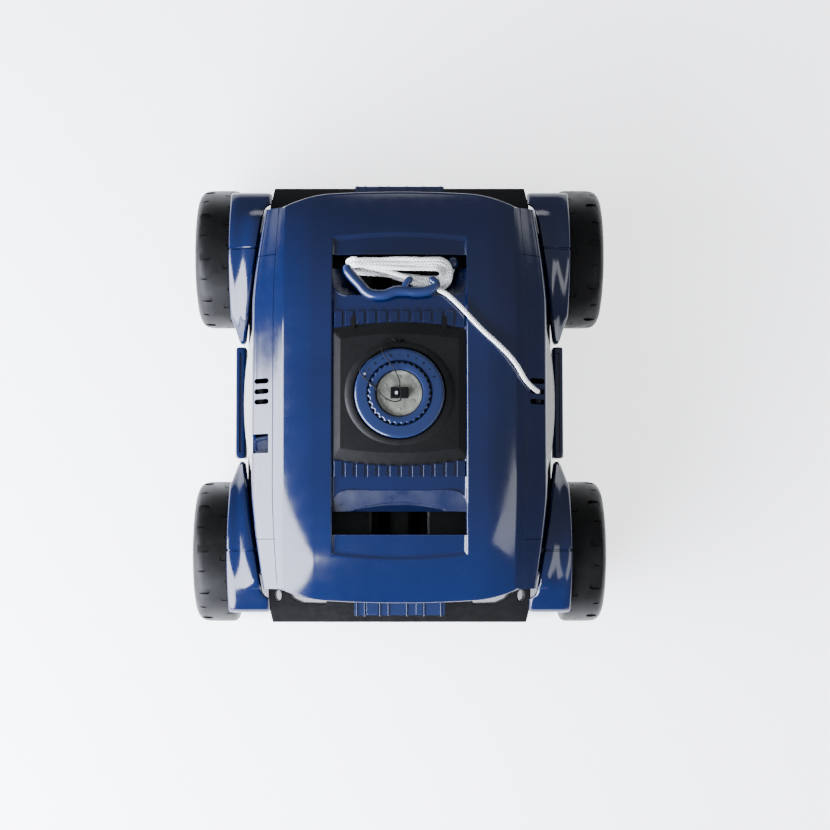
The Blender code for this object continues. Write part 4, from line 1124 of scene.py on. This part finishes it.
def tread_cutters():
    """Slots in the tread: wide and fine ones by turns from the outer side, hooks from the inner side."""
    cutters = []
    for i in range(TREAD_PITCHES):
        angle = math.radians(360 * i / TREAD_PITCHES)
        reach, half, hook_reach, hook_width = TREAD_SLOTS[i % 2]
        near = TYRE_HALF - reach
        outline = [(TYRE_HALF + 0.001, -half), (TYRE_HALF + 0.001, half)]
        outline += [(near + a, b) for a, b in arc((half, 0), half, 90, 270, 6)]
        cutters.append(radial_prism(f"slot_{i}", outline, angle, WHEEL_RADIUS - 0.0018, 0.075, TYRE))
        middle = math.radians(360 * (i + 0.5) / TREAD_PITCHES)
        far = -TYRE_HALF + hook_reach
        hook = [(-TYRE_HALF - 0.001, -0.0005), (far, -0.0005), (far, hook_width)]
        hook += [(far - 0.0009, hook_width), (far - 0.0009, 0.0005), (-TYRE_HALF - 0.001, 0.0005)]
        cutters.append(radial_prism(f"hook_{i}", hook, middle, WHEEL_RADIUS - 0.0012, 0.075, TYRE))
    return cutters


def radial_prism(name, outline, angle, low, high, material):
    """A prism that stands out from the wheel's axis (X) at an angle; outline is (along the axis, across)."""
    out = Vector((0, math.sin(angle), math.cos(angle)))
    across = Vector((0, math.cos(angle), -math.sin(angle)))
    rings = []
    for radius in (low, high):
        rings.append([Vector((a, 0, 0)) + across * b + out * radius for a, b in outline])
    return loft_piece(name, rings, material)


def wheel_masters():
    """One wheel's tyre, hub and cap round the X axis, outer side towards +X: piece, name, slot, node."""
    tyre = turned_piece("tread_master", tyre_profile(), TYRE, "X", steps=144)
    carve(tyre, tread_cutters())
    bore = AXLE_RADIUS + 0.0002
    hub_profile = [
        (bore, -0.02),
        (0.011, -0.02), (0.012, -0.019), (0.012, 0.002), (0.044, 0.007), (0.045, 0.006), (0.045, -0.02),
        (RIM_RADIUS, -0.0195), (RIM_RADIUS, 0.018),
        (0.049, 0.019), (0.047, 0.019), (0.0455, 0.018), (0.044, 0.0125), (0.042, 0.0112),
        (0.018, 0.0082), (0.0152, 0.0088), (0.0136, 0.0138), (0.013, 0.0145),
        (bore, 0.0145),
    ]
    spokes = []
    outline = [(0.0085, -0.0016), (0.0125, -0.001), (0.0125, 0.001), (0.0085, 0.0016)]
    for i in range(SPOKES):
        angle = 2 * math.pi * i / SPOKES
        spokes.append(radial_prism(f"spoke_{i}", outline, angle, 0.015, 0.0445, BLACK))
    hub = joined("rim_master", [turned_piece("rim", hub_profile, BLACK, "X"), *spokes])
    cap_profile = [(0, 0.0148), (0.0128, 0.0148), (0.013, 0.0172), (0.0122, 0.0184), (0.0105, 0.0193)]
    cap_profile += [(0.0085, 0.0198), (0.004, 0.0204), (0, 0.0205)]
    cap = turned_piece("cap_master", cap_profile, TRIM, "X", steps=64)
    return (
        (tyre, "tread", "tyre_black", "tyre"),
        (hub, "rim", "body_black", "hub"),
        (cap, "cap", "trim_blue", "hub_cap"),
    )


def make_wheels():
    """The four wheels, mirrored on the left and turned to their tread's place."""
    masters = wheel_masters()
    for end_name, end in ENDS:
        for side_name, side in SIDES:
            where = f"{end_name}_{side_name}"
            turn = Matrix.Rotation(math.radians(-TREAD_TURN[where]), 4, "X")
            mirror = Matrix.Diagonal((side, 1, 1, 1))
            shift = Matrix.Translation((side * WHEEL_X, end * WHEEL_Y, WHEEL_RADIUS))
            for master, prefix, slot_name, node_prefix in masters:
                data = master.data.copy()
                data.transform(shift @ mirror @ turn)
                if side < 0:
                    data.flip_normals()
                piece = link(f"{prefix}_{where}", data)
                settle(piece, f"wheel_{where}", slot_name, f"{node_prefix}_{where}")
    for master, *_ in masters:
        bpy.data.objects.remove(master, do_unlink=True)


def fender_top(dy):
    """Height of a fender over its wheel, dy from the axle, outwards positive."""
    if dy > 0:
        return 0.15 - 0.026 * (dy / 0.0583) ** 2
    return 0.15 - 0.053 * (dy / 0.088) ** 2


def fender_outer(dy):
    """The fender covers the tyre's inner edge and narrows where it is past the tyre."""
    past = max(0.0, -0.064 - dy) / 0.024
    return 0.1645 - 0.007 * past**0.8


def fender_inner(y):
    """The fender's inner edge follows the shell's flank with a gap, then steps in behind its end."""
    along = 0.1515 - 0.0232 * ((min(y, FENDER_STEP) - FENDER_START) / 0.1463) ** 0.84
    return along - (along - 0.1245) * ease((y - FENDER_STEP) / 0.005)


def fender_stations():
    """Places along a fender, with the end rounded off and the seam's groove in between."""
    ys = [(FENDER_START + (FENDER_STOP - FENDER_START) * i / 44, 0.0) for i in range(1, 44)]
    ys = [(y, d) for y, d in ys if abs(y - FENDER_SEAM) > 0.0016]
    for offset, depth in ((-0.0012, 0.0), (-0.0005, 0.0008), (0.0005, 0.0008), (0.0012, 0.0)):
        ys.append((FENDER_SEAM + offset, depth))
    for back, depth in ((0.0, 0.003), (0.0004, 0.0018), (0.0012, 0.0008), (0.0024, 0.0002)):
        ys += [(FENDER_START + back, depth), (FENDER_STOP - back, depth)]
    return sorted(ys)


def make_fender(end_name, end, side_name, side):
    """An arch over the inner side of a wheel, with an upright plate behind the tyre."""
    rings = []
    for y, depth in fender_stations():
        dy = y - WHEEL_Y
        top, outer, inner = fender_top(dy) - depth, fender_outer(dy) - depth, fender_inner(y) + depth
        foot = max(0.05, 0.092 - 0.9 * min(y - FENDER_START, FENDER_STOP - y))
        width = outer - inner
        rise = 0.0045 * ease((FENDER_STEP - y) / 0.012)
        section = [
            (outer - 0.0006, top - 0.0062), (outer, top - 0.0055), (outer, top - 0.0042),
            (outer - 0.0006, top - 0.0029), (outer - 0.0018, top - 0.002),
            (outer - 0.24 * width, top - 0.0014), (outer - 0.4 * width, top - 0.0014 + 0.14 * rise),
            (outer - 0.52 * width, top - 0.0014 + 0.42 * rise),
            (outer - 0.64 * width, top - 0.0014 + 0.74 * rise),
            (outer - 0.76 * width, top - 0.0014 + 0.95 * rise),
            (inner + 0.0032, top - 0.0012 + rise), (inner + 0.0016, top - 0.0017 + rise),
            (inner + 0.0005, top - 0.0028 + 0.9 * rise), (inner, top - 0.0044 + 0.6 * rise),
            (inner, top - 0.0066), (0.1528, top - 0.0062), (0.1528, foot), (0.1553, foot),
            (0.1553, top - 0.0062),
        ]
        rings.append([(side * x, end * y, z) for x, z in section])
    where = f"{end_name}_{side_name}"
    fender = loft_piece(f"arch_{where}", rings, BLUE, angle=40)
    hole = arc((end * WHEEL_Y, WHEEL_RADIUS), AXLE_RADIUS + 0.0006, 0, 352.5, 47)
    low, high = sorted((side * 0.15, side * 0.16))
    carve(fender, [prism_piece("cut_axle", hole, low, high, BLUE, "X")])
    settle(fender, "base", "shell_blue", f"fender_{where}")


def make_rail(side_name, side):
    """A bar between two fenders, with a groove along its top and rounded ends."""
    half = ((0.048, 0.0), (0.049, 0.0), (0.053, 0.0), (0.0545, 0.0006), (0.055, 0.002))
    stations = [(-y, shrink) for y, shrink in half[::-1]] + list(half)
    rings = []
    for y, shrink in stations:
        inner, outer = 0.151 + shrink, 0.1612 - shrink
        low, high = 0.08 + shrink, 0.0985 - shrink
        sunk = 0.0018 if abs(y) <= 0.048 else 0.0
        section = [
            (inner, low), (outer, low), (outer, high - 0.0024), (outer - 0.0007, high - 0.0007),
            (outer - 0.0024, high), (0.1575, high), (0.1571, high - sunk), (0.1556, high - sunk),
            (0.1552, high), (inner + 0.0022, high), (inner + 0.0006, high - 0.0007),
            (inner, high - 0.0024),
        ]
        rings.append([(side * x, y, z) for x, z in section])
    rail = loft_piece(f"rail_{side_name}", rings, BLUE)
    settle(rail, "base", "shell_blue", f"side_rail_{side_name}")


def make_side_panel(side_name, side):
    """The pale crescent that hangs below a flank, deepest in its middle."""
    rings, half = [], 0.0757
    for i in range(61):
        y = half * (i / 30 - 1)
        swell = 1 - (y / (half + 0.002)) ** 2
        low_x, low_z = 0.1412 + 0.011 * swell, 0.1215 - 0.0168 * swell
        section = [
            (0.14, 0.1238), (0.1408, 0.1236),
            ((0.1408 + low_x) / 2 + 0.0012 * swell, (0.1236 + low_z) / 2 + 0.001 * swell),
            (low_x - 0.0003, low_z + 0.0008), (low_x, low_z), (low_x - 0.0022, low_z),
            (0.1378, 0.1235),
        ]
        rings.append([(side * x, y, z) for x, z in section])
    panel = loft_piece(f"crescent_{side_name}", rings, PANEL)
    settle(panel, "power_unit", "panel_grey", f"side_panel_{side_name}")


def make_bumper(end_name, end):
    """The bar across one end, cut back round the tray, with a hole at each side."""
    half = [
        *[(0.03 * i, 0.2155) for i in range(5)],
        (0.1245, 0.2155), (0.1252, 0.213), (0.129, 0.1975), (0.129, 0.1762), (0.1105, 0.1762),
        (0.1098, 0.186), (0.104, 0.193), (0.095, 0.1968), (0.072, 0.1975), (0.072, 0.193),
    ]
    outline = [(x, end * y) for x, y in half] + [(-x, end * y) for x, y in half[:0:-1]]
    bar = prism_piece(f"bar_{end_name}", outline, 0.052, 0.085, BLACK)
    cutters = []
    for side_name, side in SIDES:
        circle = arc((0, 0), 0.0042, 0, 345, 23)
        hole = [(side * (0.1195 + a * 0.8), end * (0.1895 + b * 1.3)) for a, b in circle]
        cutters.append(prism_piece(f"cut_{side_name}", hole, 0.04, 0.1, BLACK))
    carve(bar, cutters)
    soften(bar, 0.0009, 3)
    settle(bar, "base", "body_black", f"bumper_bar_{end_name}")


FINS = (-0.0405, -0.033, -0.0185, -0.0105, 0.007, 0.0235, 0.0395)
PADS = ((-0.0315, -0.02), (0.0155, 0.0222))


def make_nozzle(end_name, end):
    """The ribbed outlet at one end: a hood with upright fins over its mouth."""
    y_low, y_high = sorted((end * 0.1864, end * 0.2062))
    low = (-NOZZLE_HALF_WIDTH, y_low, SHELL_BOTTOM + GAP)
    high = (NOZZLE_HALF_WIDTH, y_high, NOZZLE_TOP - 0.0008)
    hood = box_piece(f"hood_{end_name}", low, high, TRIM)
    round_hole = arc((0, 0.128), 0.0165, 0, 352.5, 47)
    mouth_low, mouth_high = sorted((end * 0.195, end * 0.215))
    carve(hood, [
        prism_piece("cut_jet", round_hole, *sorted((end * 0.18, end * 0.1951)), TRIM, "Y"),
        box_piece("cut_mouth", (-0.036, mouth_low, 0.11), (0.036, mouth_high, 0.137), TRIM),
    ])
    soften(hood, 0.0022, 4)
    pieces = [hood]
    low_y, high_y = sorted((end * 0.19, end * 0.207))
    for i, x in enumerate(FINS):
        low, high = (x - 0.0007, low_y, 0.1375), (x + 0.0007, high_y, NOZZLE_TOP)
        pieces.append(box_piece(f"fin_{end_name}_{i}", low, high, TRIM, 0.0005))
    low_y, high_y = sorted((end * 0.193, end * 0.2055))
    for i, (x0, x1) in enumerate(PADS):
        low, high = (x0, low_y, NOZZLE_TOP - 0.002), (x1, high_y, NOZZLE_TOP - 0.0002)
        pieces.append(box_piece(f"pad_{end_name}_{i}", low, high, TRIM, 0.0006))
    settle(joined(f"outlet_{end_name}", pieces), "power_unit", "trim_blue", f"jet_nozzle_{end_name}")


# ---- recovery rope and plug tether

ROPE_DIAMETER = 0.0043
TETHER_DIAMETER = 0.0011
# The run, from inside the middle vent of the right flank, over the crown, to the hank.
ROPE_ROUTE = (
    (0.1215, 0.0042, 0.156), (0.1262, 0.0042, 0.1595), (0.129, 0.0042, 0.165), (0.13, 0.0042, 0.172),
    (0.1292, 0.0044, 0.179), (0.1262, 0.0058, 0.1846), (0.1215, 0.0095, 0.1882),
    (0.1165, 0.015, 0.1922), (0.1097, 0.0257, 0.1993), (0.102, 0.0355, 0.2022), (0.0908, 0.0464, 0.205),
    (0.0786, 0.057, 0.2077), (0.0685, 0.0671, 0.2092), (0.0584, 0.0781, 0.2097),
    (0.0483, 0.0882, 0.2092), (0.0425, 0.093, 0.2082),
)
# From the end of the run under the grip's curl, over the hank, to its first fold.
ROPE_LEAD_IN = (
    (0.0373, 0.0958, 0.2062), (0.032, 0.1, 0.2046), (0.022, 0.104, 0.2052), (0.006, 0.1085, 0.2052),
    (-0.015, 0.115, 0.2044), (-0.033, 0.119, 0.2036),
)
# Middle line of the grip bar, from its left tip along the wave to the curl at its right end.
GRIP_ROUTE = (
    (-0.0479, 0.1205, 0.2005), (-0.0477, 0.1149, 0.202), (-0.043, 0.1081, 0.2046),
    (-0.0365, 0.1011, 0.207), (-0.0319, 0.0956, 0.2084), (-0.0254, 0.0919, 0.2092),
    (-0.0134, 0.0915, 0.2095), (-0.0042, 0.0947, 0.2097), (0.0051, 0.0952, 0.2097),
    (0.0143, 0.0942, 0.2096), (0.0236, 0.0947, 0.2098), (0.0305, 0.0968, 0.2102),
    (0.034, 0.1011, 0.2106), (0.0319, 0.1046, 0.2106), (0.027, 0.1055, 0.2104),
)
GRIP_THICKNESS = 0.0096
PRONG_ROUTE = (
    (0.003, 0.0955, 0.2096), (0.0052, 0.0985, 0.21), (0.0066, 0.102, 0.2104), (0.0088, 0.1052, 0.2106),
    (0.012, 0.1062, 0.2104),
)
TETHER_ROUTE = (
    (0.0, 0.006, 0.215), (0.0, 0.011, 0.2175), (-0.004, 0.02, 0.218), (-0.0095, 0.0285, 0.2178),
    (-0.015, 0.0365, 0.216), (-0.0165, 0.043, 0.214), (-0.013, 0.0485, 0.2132), (-0.0075, 0.05, 0.213),
    (-0.0034, 0.0482, 0.2136), (-0.0028, 0.0476, 0.2118), (-0.0028, 0.0476, 0.2085),
)
# The tether's second strand, from the plug's near side round to the other hole.
RETURN_ROUTE = (
    (0.0012, -0.0045, 0.215), (0.0008, -0.0072, 0.2166), (-0.0052, -0.0082, 0.2172),
    (-0.013, -0.005, 0.2172), (-0.0215, 0.0035, 0.2166), (-0.0308, 0.0125, 0.2162),
    (-0.0362, 0.0192, 0.2158), (-0.033, 0.0268, 0.2156), (-0.0205, 0.035, 0.2156),
    (-0.008, 0.0418, 0.215), (0.0005, 0.0465, 0.2138), (0.0028, 0.0476, 0.2115),
    (0.0028, 0.0476, 0.2085),
)
# From the last turn out to the toggle ball behind the hank.
TAIL_ROUTE = (
    (0.043, 0.1095, 0.189), (0.049, 0.115, 0.1885), (0.05, 0.1215, 0.188),
)
BALL_CENTRE, BALL_RADIUS = (0.0497, 0.1237, 0.1895), 0.006
HANK_TURNS = 9
HANK_COLUMNS = 5
LOOP_CENTRE = (0.035, 0.113)
FOLD_X = -0.0385
FOLD_DRIFT = 0.0045


def hank_layer(turn):
    """Column and level of a turn: across the top layer and back across the one below it."""
    level, column = divmod(min(turn, HANK_TURNS - 1), HANK_COLUMNS)
    return (HANK_COLUMNS - 1.6 - column, 1) if level else (column, 0)


def hank_measures(turn):
    """Radius of a turn's right loop, its place at the left fold, and its heights above and below."""
    column, level = hank_layer(turn)
    radius = 0.0142 - 0.0028 * column
    fold_y = 0.1262 - 0.0017 * column
    high = 0.2036 - 0.0044 * level + 0.0005 * column
    low = 0.188 + 0.004 * level
    return radius, fold_y, high, low


def hank_line():
    """The rope's turns: folded down at the left, back underneath, round the right loop, along the top."""
    points = []
    for turn in range(HANK_TURNS):
        radius, fold_y, high, low = hank_measures(turn)
        after = hank_measures(turn + 1)
        fold_radius = (high - low) / 2
        for i in range(9):
            angle = math.pi * i / 8
            x = FOLD_X - fold_radius * math.sin(angle) + 0.002 * (turn % 3 - 1)
            z = (high + low) / 2 + fold_radius * math.cos(angle)
            points.append(Vector((x, fold_y - FOLD_DRIFT * (i / 8), z)))
        centre_x = LOOP_CENTRE[0] + 0.0011 * math.sin(2.1 * turn)
        start = points[-1]
        end = Vector((centre_x, LOOP_CENTRE[1] - radius, low))
        for i in range(1, 8):
            t = i / 8
            point = start.lerp(end, t)
            point.y += 0.0006 * math.sin(math.pi * 2 * t + 1.3 * turn)
            points.append(point)
        if turn == HANK_TURNS - 1:
            points += [end, *(Vector(p) for p in TAIL_ROUTE)]
            break
        for i in range(17):
            angle = -math.pi / 2 + math.pi * i / 16
            share = (1 - math.cos(math.pi * i / 16)) / 2
            size = radius + (after[0] - radius) * share
            x, y = centre_x + size * math.cos(angle), LOOP_CENTRE[1] + size * math.sin(angle)
            points.append(Vector((x, y, low + (after[2] - low) * share)))
        start = points[-1]
        end = Vector((FOLD_X, after[1], after[2]))
        for i in range(1, 10):
            t = i / 10
            point = start.lerp(end, t)
            point.y += 0.001 * math.sin(math.pi * t) * math.sin(3.1 * turn + 4 * t)
            point.z += 0.0005 * math.sin(math.pi * t) * math.sin(1.7 * turn + 5 * t)
            points.append(point)
    return points


def line_length(line):
    return sum((b - a).length for a, b in zip(line, line[1:]))


def spread(line, step):
    """The same line with its points a step apart."""
    total = line_length(line)
    count = max(2, round(total / step))
    found, gone, index = [line[0].copy()], 0.0, 0
    for i in range(1, count):
        goal = total * i / count
        while gone + (line[index + 1] - line[index]).length < goal:
            gone += (line[index + 1] - line[index]).length
            index += 1
        piece = line[index + 1] - line[index]
        found.append(line[index] + piece * ((goal - gone) / piece.length))
    return found + [line[-1].copy()]


def relaxed(line, rounds):
    """Rounds off the sharpest bends of a line, with its ends kept."""
    for _ in range(rounds):
        middle = [(a + 2 * b + c) / 4 for a, b, c in zip(line, line[1:], line[2:])]
        line = [line[0], *middle, line[-1]]
    return line


def make_grip():
    """The wavy bar that holds the hank, with its prong."""
    bar = spread(smooth_route(GRIP_ROUTE, 0.002), 0.0015)
    prong = spread(smooth_route(PRONG_ROUTE, 0.002), 0.0012)
    end = GRIP_THICKNESS / 2

    def bar_radius(t):
        closing = min(1.0, min(t, 1 - t) / 0.02)
        return end * (0.35 + 0.65 * math.sin(math.pi / 2 * closing)) * (1 - 0.22 * ease((t - 0.82) / 0.12))

    def prong_radius(t):
        return end * (0.86 - 0.26 * t) * (1 - ease((t - 0.9) / 0.1) * 0.5)

    pieces = [
        tube_piece("grip_bar", bar, bar_radius, TRIM, 24),
        tube_piece("grip_prong", prong, prong_radius, TRIM, 20),
    ]
    grip = joined("grip_handle", pieces)
    return settle(grip, "power_unit", "trim_blue", "rope_grip")


def make_ball():
    """The toggle ball at the rope's far end."""
    profile = arc((0, 0), BALL_RADIUS, -90, 90, 20)
    profile[0], profile[-1] = (0, -BALL_RADIUS), (0, BALL_RADIUS)
    ball = turned_piece("rope_ball", profile, TRIM, "Z", BALL_CENTRE, 40)
    return settle(ball, "power_unit", "trim_blue")


def make_rope(grip, ball):
    """The whole cord: the run over the shell, the hank and the end at the ball."""
    control = [Vector(p) for p in ROPE_ROUTE + ROPE_LEAD_IN] + hank_line()
    line = relaxed(spread(smooth_route(control, 0.0012), 0.0016), 3)
    rope = tube_piece("recovery_rope", line, lambda t: ROPE_DIAMETER / 2, ROPE, 14)
    settle(rope, "power_unit", "rope_white", "rope_run", "rope_hank")


def make_tether(name, route, nodes):
    """A strand that is tied to the plug at one end and to the cover at the other."""
    line = relaxed(spread(smooth_route(route, 0.001), 0.0008), 2)
    strand = tube_piece(name, line, lambda t: TETHER_DIAMETER / 2, RUBBER, 10)
    if nodes:
        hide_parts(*nodes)
    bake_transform(strand)


# ---- the whole object

make_shell()
grip_wall("rear", *REAR_GRIP, REAR_WALL_DEPTH, rear_lean, REAR_WALL_TAIL)
grip_wall("front", *FRONT_GRIP, FRONT_WALL_DEPTH, lambda x: FRONT_LEAN, FRONT_WALL_TAIL)
grip_lip("rear", *REAR_GRIP)
grip_lip("front", *FRONT_GRIP)
make_scoop()
make_ribs()
make_cover()
make_dial()
make_collar()
make_window()
make_plug()
make_latch()
for end_name, end in ENDS:
    make_bumper(end_name, end)
    make_nozzle(end_name, end)
    for side_name, side in SIDES:
        make_fender(end_name, end, side_name, side)
for side_name, side in SIDES:
    make_rail(side_name, side)
    make_side_panel(side_name, side)
make_wheels()
make_rope(make_grip(), make_ball())
make_tether("plug_tether_left", TETHER_ROUTE, ["plug_tether"])
make_tether("plug_tether_right", RETURN_ROUTE, [])

for node_name, node in frame["nodes"].items():
    slot_name = next(r["material_slot"] for r in frame["record"]["subparts"] if r["node"] == node_name)
    node.data.materials.clear()
    node.data.materials.append(FINISH[slot_name])
